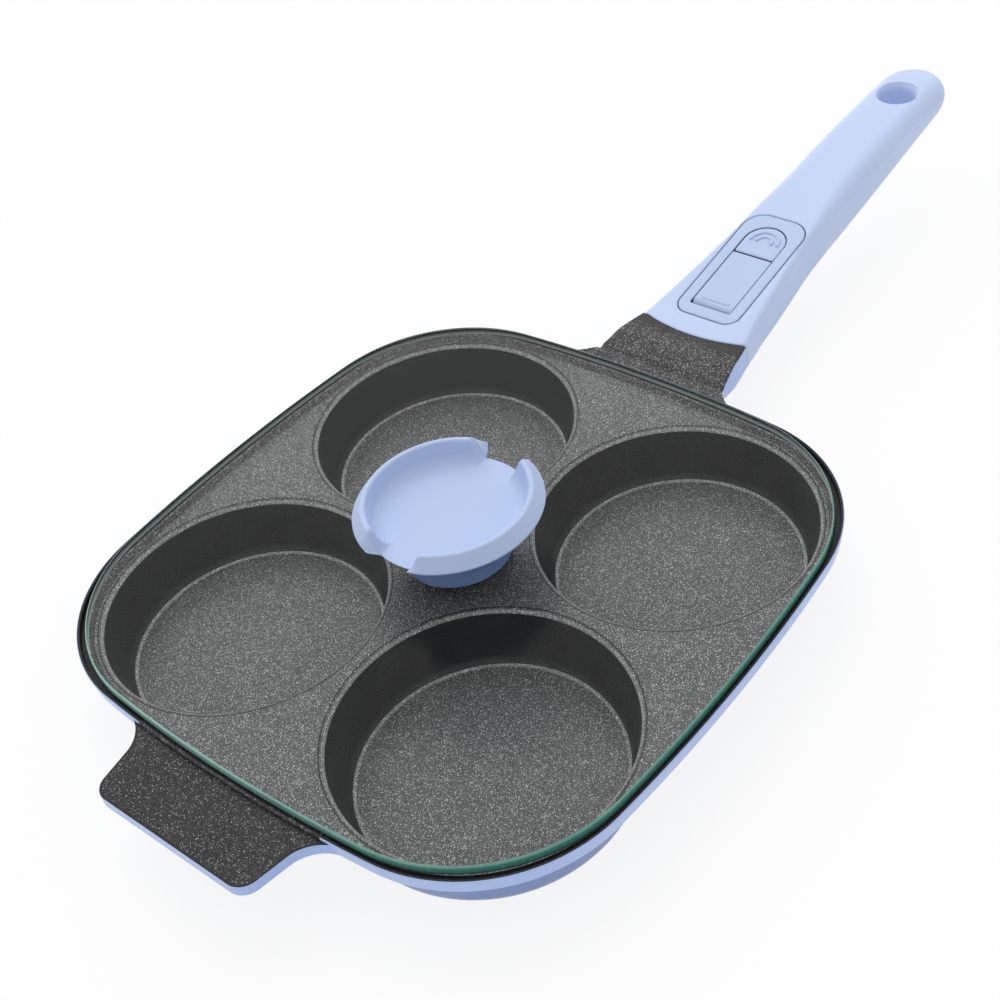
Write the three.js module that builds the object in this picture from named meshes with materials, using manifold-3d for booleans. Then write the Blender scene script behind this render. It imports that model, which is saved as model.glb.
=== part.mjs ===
// Four-cup pancake pan with a glass lid and a take-off handle.
// Millimetres, +Z up, +X along the handle. The pan stands on its four cup bases at z = 0.
import * as THREE from "three";
import { mergeVertices } from "three/addons/utils/BufferGeometryUtils.js";
import Module from "manifold-3d";

// Clearances
const SEAT_GAP = 0.3; // between pieces that rest on each other
const SEAM = 0.35; // round the panel, the lever and the button
const SLIDE_GAP = 0.35; // beside pieces that slide
const PIN_GAP = 0.1; // round the lever pin
const JOINT_GAP = 0.4; // between the stem and the handle
const OVERRUN = 1; // cuts run this far past the faces they open

// Cups
const CUP_SPACING = 107.4; // between the centres of neighbouring cups
const CUP_MOUTH_R = 50;
const CUP_FLOOR_R = 46.2; // where the wall would meet the floor without its fillet
const CUP_DEPTH = 21.5;
const CUP_WALL = 2.2;
const CUP_BASE = 2.2;
const CUP_MOUTH_FILLET = 1.5;
const CUP_FLOOR_FILLET = 3.5;
const CUP_BASE_FILLET = 7;
const CUP_SIDES = 40; // facets round a cup

// Deck and rim
const RIM_WIDTH = 228.4; // across the middles of opposite sides
const RIM_SIDE_R = 650; // each side is a very flat arc
const RIM_CORNER_R = 58;
const RIM_HEIGHT = 4.5; // lip above the deck
const RIM_LIP = 1.3; // width of the lip
const RIM_DRAFT = 3.2; // how far the wall leans in at its foot
const RIM_FOOT_IN = 0.9; // and above its rounded foot
const RIM_FOOT_UP = 1.4;
const DECK_T = 3;
const LEDGE_HEIGHT = 2.4; // lid seat above the deck
const LEDGE_WIDTH = 2.8;
const LEDGE_SLOPE = 1.3; // run of the slope from the seat to the deck
const DIMPLE_R = 12; // clears the knob's screw
const DIMPLE_DEPTH = 4;

// Helper lip at the front
const TAB_LENGTH = 24.4; // beyond the rim
const TAB_END_WIDTH = 67;
const TAB_ROOT_WIDTH = 76;
const TAB_DROP = 1.5; // below the rim
const TAB_T = 4.2;
const TAB_CORNER_R = 6;
const TAB_FILLET = 7.5;

// Handle stem
const STEM_LENGTH = 27.8; // from the rim to the middle of the joint
const STEM_FLARE = 6.6; // each side widens by this towards the rim
const STEM_FILLET_RUN = 5; // and by a fillet beside the rim
const STEM_FILLET_OUT = 5;
const STEM_DROP = 1.5; // top below the rim at its root
const STEM_STEP_START = 9; // from the rim to where the top rises
const STEM_STEP_RUN = 8;
const STEM_EDGE = 1.2;
const STEM_FOOT_RUN = 14; // from the rim to where the stem has its full height
const JOINT_BOW_R = 72; // the joint is an arc in plan

// Tongue
const TONGUE_WIDTH = 21;
const TONGUE_T = 2.5;
const TONGUE_DROP = 8.2; // tongue top below the handle top at the joint
const TONGUE_REACH = 38; // past the joint
const TONGUE_ROOT = 16; // inside the stem
const RIVET_R = 1.8;
const RIVET_SPACING = 12;
const RIVET_SETBACK = 9; // from the joint
const RIVET_BITE = 3; // above the tongue

// Lid
const GLASS_T = 4;
const GLASS_GAP = 1.1; // between the glass edge and the lip
const GLASS_EDGE = 0.5;
const GLASS_HOLE_R = 3.5;

// Knob
const KNOB_R = 33.2; // widest edge of the dish
const KNOB_RIDGE_R = 28.7;
const KNOB_RIDGE_W = 1.6;
const KNOB_HEIGHT = 25.6; // ridge above the glass
const KNOB_RIDGE_H = 8.1; // ridge above the dish floor
const KNOB_EDGE_H = 3.3; // widest edge above the dish floor
const KNOB_FLOOR_R = 23.5;
const KNOB_FLOOR_T = 1.8;
const KNOB_EDGE_R = 0.5;
const KNOB_FOOT_R = 28.6; // where the notches leave the dish floor
const KNOB_NOTCH_LOW = 14; // width of a notch at the dish floor
const KNOB_NOTCH_HIGH = 23; // and at the ridge
const NECK_FOOT_R = 19.3;
const NECK_WAIST_R = 18;
const NECK_HEAD_R = 23;
const NECK_WALL = 2.4;
const NECK_FLOOR_T = 2.5;
const BOSS_R = 7;
const INSERT_R = 4;
const INSERT_LENGTH = 9;
const KNOB_SCREW_R = 2.5;
const KNOB_SCREW_HEAD_R = 4.6;
const KNOB_SCREW_HEAD_T = 2.2;
const KNOB_SCREW_BITE = 8; // in the insert
const DRIVE_SLOT_W = 1.2;
const DRIVE_DEPTH = 1;
const WASHER_R = 8;
const WASHER_T = 1;
const GASKET_R = 9;
const GASKET_T = 0.8;

// Handle
const HANDLE_LENGTH = 196.5; // from the middle of the joint to the tip
const HANDLE_TILT = 9.1; // degrees, up from the deck along the panel
const HANDLE_FRONT_RISE = 5.1; // handle top above the deck at the joint
const HANDLE_FRONT_WIDTH = 49;
const HANDLE_WAIST_WIDTH = 32.5;
const HANDLE_END_WIDTH = 30;
const HANDLE_FRONT_HEIGHT = 15;
const HANDLE_BELLY_HEIGHT = 25;
const HANDLE_END_HEIGHT = 17.5;
const FLARE_LENGTH = 68; // joint to waist
const BELLY_LENGTH = 98; // joint to the deepest place
const HANDLE_FRONT_EDGE_R = 2.4;
const HANDLE_GRIP_EDGE_R = 7.5; // upper edges of the grip
const HANDLE_BELLY_EDGE_R = 10.5; // lower edges of the grip
const BELLY_ROUND_START = 30; // from the joint to where the lower edges round off
const BELLY_ROUND_RUN = 60;
const HANDLE_END_RUN = 14; // length of the rounded end
const HANDLE_END_DROP = 2; // top falls by this at the tip
const HANDLE_END_SQUARE = 0.6; // below 1 makes the end squarer in plan
const EDGE_ROUND_START = 60; // from the joint to where the edges round off
const EDGE_ROUND_RUN = 49;
const FLARE_POWER = 1.5; // how sharply the front flares
const ROUND_SHARE = 0.9; // largest rounding, as a share of half the section
const HANG_HOLE_R = 8;
const HANG_HOLE_SETBACK = 26; // from the tip

// Latch panel, measured along the tilted top of the handle
const PANEL_START = 10.2; // from the joint
const PANEL_LENGTH = 63;
const PANEL_WIDTH = 28.6;
const PANEL_T = 2.4;
const PANEL_FRONT_R = 6;
const PANEL_BACK_R = 9;
const TILE_WIDTH = 18.4; // lever and button
const TILE_T = 3;
const LEVER_START = 5.8; // from the panel's front edge
const LEVER_LENGTH = 32.6;
const LEVER_NOSE_R = 3.4;
const LEVER_PIN_R = 1.2;
const CAM_THROW = 1.8;
const CAM_R = 2.2;
const TILE_GAP = 0.8; // between the lever and the button
const BUTTON_LENGTH = 17.4;
const BUTTON_TRAVEL = 2.5;
const BUTTON_FLANGE = 1; // wider than the panel's opening
const BUTTON_FLANGE_T = 1.5;
const BUTTON_STEM = 7;
const BUTTON_STEM_LENGTH = 6;
const ARC_RADII = [6.2, 3.6]; // raised arcs on the button
const ARC_WIDTH = 1.1;
const ARC_HEIGHT = 0.35;

// Clamp and chassis
const CHASSIS_WALL = 1.4;
const CHASSIS_PLATE = 1.2;
const CHASSIS_FRONT = 2.6; // behind the panel's front edge
const SHOE_LENGTH = 9;
const SHOE_WIDTH = 15;
const SHOE_LIFT = 0.9;
const SHOE_ARM_LENGTH = 11.5;
const SHOE_ARM_T = 1.4;
const SPRING_R = 2.4; // to the outside of the wire
const SPRING_WIRE_R = 0.3;
const SPRING_CURLS = 3;
const CLAMP_SPRING_LENGTH = 4.6;
const CLAMP_SPRING_SPACING = 9.6;
const CLAMP_SPRING_INSET = 3.8; // from the end of the shoe's arm
const GUIDE_WALL = 1.6;
const CHASSIS_SCREW_R = 1.1;
const CHASSIS_SCREW_HEAD_R = 2.1;
const CHASSIS_SCREW_HEAD_T = 1.3;
const CHASSIS_SCREW_LENGTH = 4.5;
const CHASSIS_SCREW_SPACING = 15.4; // across the handle
const CHASSIS_SCREW_INSET = 3.6; // from the tongue's end and from the chassis' rear

// Heights and places that follow from the sizes above
const DECK_Z = CUP_BASE + CUP_DEPTH;
const RIM_Z = DECK_Z + RIM_HEIGHT;
const LEDGE_Z = DECK_Z + LEDGE_HEIGHT;
const GLASS_Z = LEDGE_Z + SEAT_GAP + GLASS_T; // top of the glass
const RIM_HALF = RIM_WIDTH / 2;
const JOINT_X = RIM_HALF + STEM_LENGTH;
const TIP_X = JOINT_X + HANDLE_LENGTH;
const TAB_X = -RIM_HALF - TAB_LENGTH;
const TILT = THREE.MathUtils.degToRad(HANDLE_TILT);
const PANEL_X = JOINT_X + PANEL_START * Math.cos(TILT);
const LEVEL_X = PANEL_X + PANEL_LENGTH; // from here the handle's top levels off
const TONGUE_TOP = DECK_Z + HANDLE_FRONT_RISE - TONGUE_DROP;
const TONGUE_LOW = TONGUE_TOP - TONGUE_T;

const wasm = await Module();
wasm.setup();

// A closed geometry as a solid that can be joined and cut.
function solid(geometry) {
  const bare = new THREE.BufferGeometry();
  bare.setAttribute("position", geometry.getAttribute("position"));
  bare.setIndex(geometry.index);
  const merged = mergeVertices(bare, 1e-4);
  const corners = merged.index.array;
  const triVerts = [];
  for (let i = 0; i < corners.length; i += 3) {
    const [a, b, c] = corners.subarray(i, i + 3);
    if (a !== b && b !== c && c !== a) triVerts.push(a, b, c);
  }
  const vertProperties = merged.getAttribute("position").array;
  const made = (indices) =>
    new wasm.Manifold(
      new wasm.Mesh({ numProp: 3, vertProperties, triVerts: new Uint32Array(indices) }),
    );
  const first = made(triVerts);
  return first.volume() > 0 ? first : made(triVerts.reverse());
}

// A solid back as a geometry for a mesh.
function geometryOf(body) {
  const mesh = body.getMesh();
  const geometry = new THREE.BufferGeometry();
  geometry.setAttribute("position", new THREE.BufferAttribute(mesh.vertProperties, 3));
  geometry.setIndex(new THREE.BufferAttribute(mesh.triVerts, 1));
  geometry.computeVertexNormals();
  return geometry;
}

function material(colour, roughness, metalness = 0) {
  return new THREE.MeshStandardMaterial({ color: colour, roughness, metalness });
}

const FINISH = {
  coating: material(0x4b494c, 0.6, 0.2),
  glass: material(0xcfe6dd, 0.05),
  blue: material(0xbccdf0, 0.5),
  blueDark: material(0xa9bce4, 0.55),
  steel: material(0xb9bcc0, 0.35, 1),
  brass: material(0xc9a85a, 0.4, 1),
  silicone: material(0x8e9cb8, 0.8),
  innerPlastic: material(0x6d7480, 0.7),
};

function piece(name, body, finish) {
  const mesh = new THREE.Mesh(geometryOf(body), FINISH[finish]);
  mesh.name = name;
  return mesh;
}

// A box between two corners.
function box(x0, x1, y0, y1, z0, z1) {
  const geometry = new THREE.BoxGeometry(x1 - x0, y1 - y0, z1 - z0);
  return solid(geometry.translate((x0 + x1) / 2, (y0 + y1) / 2, (z0 + z1) / 2));
}

// An upright cylinder.
function post(x, y, radius, z0, z1, sides = 24) {
  const geometry = new THREE.CylinderGeometry(radius, radius, z1 - z0, sides);
  return solid(geometry.rotateX(Math.PI / 2).translate(x, y, (z0 + z1) / 2));
}

// A cylinder across the handle, centred on its middle plane.
function crossBar(x, z, radius, length, sides = 24) {
  const geometry = new THREE.CylinderGeometry(radius, radius, length, sides);
  return solid(geometry.translate(x, 0, z));
}

// A turned body about the Z axis from [radius, height] points.
function turned(profile, x = 0, y = 0, sides = 36) {
  const points = profile.map(([r, z]) => new THREE.Vector2(r, z));
  return solid(new THREE.LatheGeometry(points, sides).rotateX(Math.PI / 2).translate(x, y, 0));
}

// A flat outline raised from z0 to z1.
function raised(shape, z0, z1, curveSegments = 7) {
  const geometry = new THREE.ExtrudeGeometry(shape, { depth: z1 - z0, bevelEnabled: false, curveSegments });
  return solid(geometry.translate(0, 0, z0));
}

// A body through rings of points, each ring convex and with as many points as the next.
function lofted(rings) {
  const count = rings[0].length;
  const points = rings.flat();
  const indices = [];
  for (let r = 0; r + 1 < rings.length; r++) {
    for (let i = 0; i < count; i++) {
      const j = (i + 1) % count;
      const low = r * count;
      const high = low + count;
      indices.push(low + i, low + j, high + j, low + i, high + j, high + i);
    }
  }
  const last = (rings.length - 1) * count;
  for (let i = 1; i + 1 < count; i++) {
    indices.push(0, i + 1, i, last, last + i, last + i + 1);
  }
  return solid(new THREE.BufferGeometry().setFromPoints(points).setIndex(indices));
}

function smoothStep(value, start, run) {
  return THREE.MathUtils.smoothstep(value, start, start + run);
}

// The pan's plan: four flat side arcs joined by corner arcs, drawn in by inset, at height z.
function rimRing(inset, z) {
  const sideSteps = 4;
  const cornerSteps = 9;
  const sideCentre = RIM_HALF - RIM_SIDE_R;
  const reach = RIM_SIDE_R - RIM_CORNER_R;
  const corner = (sideCentre + Math.sqrt(2 * reach * reach - sideCentre * sideCentre)) / 2;
  const meet = Math.atan2(corner, corner - sideCentre);
  const ring = [];
  for (let quarter = 0; quarter < 4; quarter++) {
    const turn = (quarter * Math.PI) / 2;
    const add = (centreX, centreY, radius, angle) => {
      const point = new THREE.Vector3(radius * Math.cos(angle) + centreX, radius * Math.sin(angle) + centreY, z);
      ring.push(point.applyAxisAngle(new THREE.Vector3(0, 0, 1), turn));
    };
    for (let i = 0; i < sideSteps; i++) {
      add(sideCentre, 0, RIM_SIDE_R - inset, meet * ((2 * i) / sideSteps - 1));
    }
    for (let i = 0; i < cornerSteps; i++) {
      add(corner, corner, RIM_CORNER_R - inset, meet + (Math.PI / 2 - 2 * meet) * (i / cornerSteps));
    }
  }
  return ring;
}

// Points of a quarter-round from one angle to another, for turned profiles.
function arcPoints(r, z, radius, fromDegrees, toDegrees, steps) {
  return Array.from({ length: steps + 1 }, (_, i) => {
    const angle = THREE.MathUtils.degToRad(fromDegrees + ((toDegrees - fromDegrees) * i) / steps);
    return [r + radius * Math.cos(angle), z + radius * Math.sin(angle)];
  });
}

// The hollow of one cup, open upwards, with a rounded mouth and floor.
function cupHollow(x, y) {
  const top = RIM_Z;
  const lean = Math.atan2(CUP_MOUTH_R - CUP_FLOOR_R, CUP_DEPTH);
  const leanDegrees = THREE.MathUtils.radToDeg(lean);
  const floorCentre = CUP_FLOOR_R - CUP_FLOOR_FILLET * Math.tan((Math.PI / 2 - lean) / 2);
  return turned(
    [
      [0, CUP_BASE],
      ...arcPoints(floorCentre, CUP_BASE + CUP_FLOOR_FILLET, CUP_FLOOR_FILLET, -90, -leanDegrees, 3),
      ...arcPoints(CUP_MOUTH_R + CUP_MOUTH_FILLET, DECK_Z - CUP_MOUTH_FILLET, CUP_MOUTH_FILLET, 180, 90, 2),
      [CUP_MOUTH_R + CUP_MOUTH_FILLET, top],
      [0, top],
    ],
    x,
    y,
    CUP_SIDES,
  );
}

function cupOutside(x, y) {
  const floorR = CUP_FLOOR_R + CUP_WALL;
  return turned(
    [
      [0, 0],
      ...arcPoints(floorR - CUP_BASE_FILLET, CUP_BASE_FILLET, CUP_BASE_FILLET, -90, 0, 3),
      [CUP_MOUTH_R + CUP_WALL, DECK_Z - DECK_T / 2],
      [0, DECK_Z - DECK_T / 2],
    ],
    x,
    y,
    CUP_SIDES,
  );
}

function helperLip() {
  const root = -RIM_HALF + RIM_DRAFT + RIM_LIP;
  const wall = -RIM_HALF;
  const halfRoot = TAB_ROOT_WIDTH / 2;
  const halfEnd = TAB_END_WIDTH / 2;
  const shape = new THREE.Shape();
  shape.moveTo(root, halfRoot + TAB_FILLET);
  shape.lineTo(wall, halfRoot + TAB_FILLET);
  shape.quadraticCurveTo(wall, halfRoot, wall - TAB_FILLET, halfRoot);
  shape.lineTo(TAB_X + TAB_CORNER_R, halfEnd);
  shape.quadraticCurveTo(TAB_X, halfEnd, TAB_X, halfEnd - TAB_CORNER_R);
  shape.lineTo(TAB_X, -halfEnd + TAB_CORNER_R);
  shape.quadraticCurveTo(TAB_X, -halfEnd, TAB_X + TAB_CORNER_R, -halfEnd);
  shape.lineTo(wall - TAB_FILLET, -halfRoot);
  shape.quadraticCurveTo(wall, -halfRoot, wall, -halfRoot - TAB_FILLET);
  shape.lineTo(root, -halfRoot - TAB_FILLET);
  return raised(shape, RIM_Z - TAB_DROP - TAB_T, RIM_Z - TAB_DROP, 5);
}

// A block across X with bevelled edges, as a ring at x.
function bevelledRing(x, half, low, high, edge) {
  return [
    [-half, low + edge],
    [-half + edge, low],
    [half - edge, low],
    [half, low + edge],
    [half, high - edge],
    [half - edge, high],
    [-half + edge, high],
    [-half, high - edge],
  ].map(([y, z]) => new THREE.Vector3(x, y, z));
}

function handleTop(x) {
  const straight = DECK_Z + HANDLE_FRONT_RISE + Math.tan(TILT) * (x - JOINT_X);
  const past = Math.max(0, x - LEVEL_X);
  return straight - (Math.tan(TILT) * past * past) / (2 * (TIP_X - LEVEL_X));
}

function stem() {
  const stations = 24;
  const start = RIM_HALF - RIM_DRAFT - RIM_LIP;
  const end = JOINT_X + JOINT_GAP + HANDLE_FRONT_WIDTH / 4;
  const halfJoint = HANDLE_FRONT_WIDTH / 2;
  const rootTop = RIM_Z - STEM_DROP;
  const jointTop = DECK_Z + HANDLE_FRONT_RISE;
  const rootLow = DECK_Z - DECK_T;
  const jointLow = jointTop - HANDLE_FRONT_HEIGHT;
  const rings = [];
  for (let i = 0; i <= stations; i++) {
    const x = start + ((end - start) * i) / stations;
    const flare = Math.max(0, JOINT_X - x) / STEM_LENGTH;
    const fillet = Math.max(0, 1 - (x - RIM_HALF) / STEM_FILLET_RUN);
    const half = halfJoint + STEM_FLARE * flare + STEM_FILLET_OUT * fillet * fillet;
    const top = rootTop + (jointTop - rootTop) * smoothStep(x, RIM_HALF + STEM_STEP_START, STEM_STEP_RUN);
    const low = rootLow + (jointLow - rootLow) * smoothStep(x, RIM_HALF, STEM_FOOT_RUN);
    rings.push(bevelledRing(x, half, low, top, STEM_EDGE));
  }
  return lofted(rings);
}

// The round front of the handle in plan, as an upright drum; the stem stays outside it.
function jointDrum(radius) {
  return post(JOINT_X + JOINT_BOW_R, 0, radius, 0, RIM_Z + HANDLE_LENGTH, 72);
}

const rivetPlaces = [-1, 1].map((side) => ({
  x: JOINT_X - RIVET_SETBACK,
  y: (side * RIVET_SPACING) / 2,
  name: side > 0 ? "tongue_rivet_left" : "tongue_rivet_right",
}));

function tongueBox(grow) {
  const half = TONGUE_WIDTH / 2 + grow;
  return box(
    JOINT_X - TONGUE_ROOT - grow,
    JOINT_X + TONGUE_REACH,
    -half,
    half,
    TONGUE_LOW - grow,
    TONGUE_TOP + grow,
  );
}

function panCasting() {
  const half = CUP_SPACING / 2;
  const places = [-1, 1].flatMap((i) => [-1, 1].map((j) => [i * half, j * half]));
  const foot = DECK_Z - DECK_T;
  let body = lofted([
    rimRing(RIM_DRAFT, foot),
    rimRing(RIM_FOOT_IN, foot + RIM_FOOT_UP),
    rimRing(0, RIM_Z),
  ]);
  body = body.add(helperLip()).add(stem().subtract(jointDrum(JOINT_BOW_R + JOINT_GAP)));
  for (const [x, y] of places) body = body.add(cupOutside(x, y));
  body = body.add(post(0, 0, DIMPLE_R + CUP_WALL, foot - DIMPLE_DEPTH, DECK_Z, 32));
  const deckInset = RIM_LIP + LEDGE_WIDTH + LEDGE_SLOPE;
  body = body.subtract(lofted([rimRing(RIM_LIP, LEDGE_Z), rimRing(RIM_LIP, RIM_Z + RIM_HEIGHT)]));
  body = body.subtract(
    lofted([
      rimRing(deckInset, DECK_Z),
      rimRing(RIM_LIP + LEDGE_WIDTH, LEDGE_Z),
      rimRing(RIM_LIP + LEDGE_WIDTH, RIM_Z),
    ]),
  );
  for (const [x, y] of places) body = body.subtract(cupHollow(x, y));
  body = body.subtract(post(0, 0, DIMPLE_R, DECK_Z - DIMPLE_DEPTH, RIM_Z, 32));
  body = body.subtract(tongueBox(SEAT_GAP));
  for (const { x, y } of rivetPlaces) {
    body = body.subtract(post(x, y, RIVET_R + PIN_GAP, 0, TONGUE_TOP + RIVET_BITE + SEAT_GAP, 16));
  }
  return body;
}

function tonguePlate() {
  return rivetPlaces.reduce(
    (plate, { x, y }) => plate.subtract(post(x, y, RIVET_R + PIN_GAP, 0, RIM_Z, 16)),
    tongueBox(0),
  );
}

function tongueRivet({ x, y }) {
  const stemLow = DECK_Z + HANDLE_FRONT_RISE - HANDLE_FRONT_HEIGHT;
  return post(x, y, RIVET_R, stemLow + SEAT_GAP, TONGUE_TOP + RIVET_BITE, 16);
}

// Lid, from the glass upwards and downwards
function glassLid() {
  const inset = RIM_LIP + GLASS_GAP;
  const low = GLASS_Z - GLASS_T;
  const plate = lofted([
    rimRing(inset + GLASS_EDGE, low),
    rimRing(inset, low + GLASS_EDGE),
    rimRing(inset, GLASS_Z - GLASS_EDGE),
    rimRing(inset + GLASS_EDGE, GLASS_Z),
  ]);
  return plate.subtract(post(0, 0, GLASS_HOLE_R, low - GLASS_T, GLASS_Z + GLASS_T));
}

const STACK_GAP = SEAT_GAP / 2;
const GASKET_LOW_Z = GLASS_Z - GLASS_T - STACK_GAP - GASKET_T;
const WASHER_Z = GASKET_LOW_Z - STACK_GAP - WASHER_T;
const SCREW_HEAD_Z = WASHER_Z - STACK_GAP;
const GASKET_HIGH_Z = GLASS_Z + STACK_GAP;
const NECK_Z = GASKET_HIGH_Z + GASKET_T + STACK_GAP; // underside of the neck's floor
const BOSS_Z = NECK_Z + NECK_FLOOR_T + STACK_GAP;
const KNOB_FLOOR_Z = GLASS_Z + KNOB_HEIGHT - KNOB_RIDGE_H;
const KNOB_LOW_Z = KNOB_FLOOR_Z - KNOB_FLOOR_T;
const NECK_TOP_Z = KNOB_LOW_Z - STACK_GAP;

function ring(outer, inner, z0, z1, sides = 24) {
  return post(0, 0, outer, z0, z1, sides).subtract(post(0, 0, inner, z0 - OVERRUN, z1 + OVERRUN, sides));
}

function knobDish() {
  const ridgeZ = GLASS_Z + KNOB_HEIGHT;
  const edgeZ = KNOB_FLOOR_Z + KNOB_EDGE_H;
  const crownR = KNOB_RIDGE_W / 2;
  const hollowSteps = 4;
  const reach = KNOB_RIDGE_R - crownR - KNOB_FLOOR_R;
  const rise = KNOB_RIDGE_H - crownR;
  const hollow = Array.from({ length: hollowSteps }, (_, i) => {
    const angle = (Math.PI / 2) * (1 - (i + 1) / hollowSteps);
    return [KNOB_FLOOR_R + reach * Math.sin(angle), KNOB_FLOOR_Z + rise * (1 - Math.cos(angle))];
  });
  const bowl = turned([
    [0, KNOB_LOW_Z],
    [NECK_HEAD_R, KNOB_LOW_Z],
    [KNOB_FOOT_R, KNOB_FLOOR_Z - KNOB_EDGE_R],
    [KNOB_R - KNOB_EDGE_R, edgeZ - KNOB_EDGE_R],
    [KNOB_R, edgeZ],
    ...arcPoints(KNOB_RIDGE_R, ridgeZ - crownR, crownR, 30, 180, 4),
    ...hollow,
    [0, KNOB_FLOOR_Z],
  ]);
  const boss = post(0, 0, BOSS_R, BOSS_Z, KNOB_LOW_Z + KNOB_FLOOR_T / 2);
  const bore = post(0, 0, INSERT_R + STACK_GAP, BOSS_Z - OVERRUN, BOSS_Z + INSERT_LENGTH + STACK_GAP);
  return bowl.subtract(knobNotch()).add(boss).subtract(bore);
}

// Both notches as one wedge across the dish, wider at the ridge.
function knobNotch() {
  const reach = KNOB_R + OVERRUN;
  const slope = (KNOB_NOTCH_HIGH - KNOB_NOTCH_LOW) / 2 / KNOB_RIDGE_H;
  const halfLow = KNOB_NOTCH_LOW / 2;
  const halfTop = KNOB_NOTCH_HIGH / 2 + slope * OVERRUN;
  const top = GLASS_Z + KNOB_HEIGHT + OVERRUN;
  const ends = [-reach, reach].map((x) => [
    new THREE.Vector3(x, -halfLow, KNOB_FLOOR_Z),
    new THREE.Vector3(x, halfLow, KNOB_FLOOR_Z),
    new THREE.Vector3(x, halfTop, top),
    new THREE.Vector3(x, -halfTop, top),
  ]);
  return lofted(ends);
}

// The neck is a sleeve, open upwards, with a floor that the screw passes.
function knobNeck() {
  const waistZ = (GLASS_Z + NECK_TOP_Z) / 2;
  const skirtZ = GLASS_Z + STACK_GAP;
  const sleeve = turned([
    [0, NECK_Z],
    [GASKET_R + SEAT_GAP, NECK_Z],
    [GASKET_R + SEAT_GAP, skirtZ],
    [NECK_FOOT_R, skirtZ],
    [NECK_WAIST_R, waistZ],
    [(NECK_WAIST_R + NECK_HEAD_R) / 2, (waistZ + NECK_TOP_Z * 3) / 4],
    [NECK_HEAD_R, NECK_TOP_Z],
    [NECK_HEAD_R - NECK_WALL, NECK_TOP_Z],
    [NECK_WAIST_R - NECK_WALL, waistZ],
    [NECK_FOOT_R - NECK_WALL, NECK_Z + NECK_FLOOR_T],
    [0, NECK_Z + NECK_FLOOR_T],
  ]);
  return sleeve.subtract(post(0, 0, KNOB_SCREW_R + SEAT_GAP, GLASS_Z - OVERRUN, NECK_TOP_Z));
}

function knobScrew() {
  const head = post(0, 0, KNOB_SCREW_HEAD_R, SCREW_HEAD_Z - KNOB_SCREW_HEAD_T, SCREW_HEAD_Z);
  const shank = post(0, 0, KNOB_SCREW_R, SCREW_HEAD_Z - KNOB_SCREW_HEAD_T / 2, BOSS_Z + KNOB_SCREW_BITE);
  const driveHalf = DRIVE_SLOT_W / 2;
  const driveLow = SCREW_HEAD_Z - KNOB_SCREW_HEAD_T;
  const depth = [driveLow - OVERRUN, driveLow + DRIVE_DEPTH];
  const slotA = box(-KNOB_SCREW_R, KNOB_SCREW_R, -driveHalf, driveHalf, ...depth);
  const slotB = box(-driveHalf, driveHalf, -KNOB_SCREW_R, KNOB_SCREW_R, ...depth);
  return head.add(shank).subtract(slotA).subtract(slotB);
}

// The latch is drawn along the tilted top of the handle: u along it, y across, w square to it.
const latch = new THREE.Group();
latch.position.set(PANEL_X, 0, handleTop(PANEL_X));
latch.rotation.y = -TILT;
latch.updateMatrix();

// A latch body in the frame of the pan.
function tilted(body) {
  return solid(geometryOf(body).applyMatrix4(latch.matrix));
}

const OPENING_START = LEVER_START - SEAM;
const LEVER_END = LEVER_START + LEVER_LENGTH;
const BUTTON_START = LEVER_END + TILE_GAP;
const BUTTON_CENTRE = BUTTON_START + BUTTON_LENGTH - TILE_WIDTH / 2;
const PIN_U = LEVER_START + LEVER_NOSE_R;
const PIN_W = -LEVER_NOSE_R - SEAM / 2;
const PIN_AT = new THREE.Vector3(PIN_U, 0, PIN_W).applyMatrix4(latch.matrix);

// A rectangle with its own corner radius at each end.
function panelShape(start, end, half, frontR, backR) {
  const shape = new THREE.Shape();
  shape.moveTo(start + frontR, -half);
  shape.lineTo(end - backR, -half);
  shape.absarc(end - backR, -half + backR, backR, -Math.PI / 2, 0);
  shape.absarc(end - backR, half - backR, backR, 0, Math.PI / 2);
  shape.lineTo(start + frontR, half);
  shape.absarc(start + frontR, half - frontR, frontR, Math.PI / 2, Math.PI);
  shape.absarc(start + frontR, -half + frontR, frontR, Math.PI, Math.PI * 1.5);
  return shape;
}

// A tile with one straight end and one half-round end.
function roundEndShape(start, centre, half) {
  const shape = new THREE.Shape();
  shape.moveTo(start, -half);
  shape.lineTo(centre, -half);
  shape.absarc(centre, 0, half, -Math.PI / 2, Math.PI / 2);
  shape.lineTo(start, half);
  return shape;
}

function panelOutline(grow) {
  return panelShape(-grow, PANEL_LENGTH + grow, PANEL_WIDTH / 2 + grow, PANEL_FRONT_R + grow, PANEL_BACK_R + grow);
}

function latchPanel() {
  const opening = roundEndShape(OPENING_START, BUTTON_CENTRE, TILE_WIDTH / 2 + SEAM);
  return raised(panelOutline(0), -PANEL_T, 0).subtract(raised(opening, -PANEL_T - OVERRUN, OVERRUN));
}

// The lever turns on its pin; its nose is round about the pin and carries the cam.
function releaseLever() {
  const half = TILE_WIDTH / 2;
  const top = PIN_W + LEVER_NOSE_R;
  const cam = new THREE.Vector2(-Math.sin(TILT), -Math.cos(TILT)).multiplyScalar(CAM_THROW);
  return box(PIN_U, LEVER_END, -half, half, -TILE_T, top)
    .add(crossBar(PIN_U, PIN_W, LEVER_NOSE_R, TILE_WIDTH, 32))
    .add(crossBar(PIN_U + cam.x, PIN_W + cam.y, CAM_R, SHOE_WIDTH, 28))
    .subtract(crossBar(PIN_U, PIN_W, LEVER_PIN_R + PIN_GAP, TILE_WIDTH + OVERRUN, 16));
}

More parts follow.
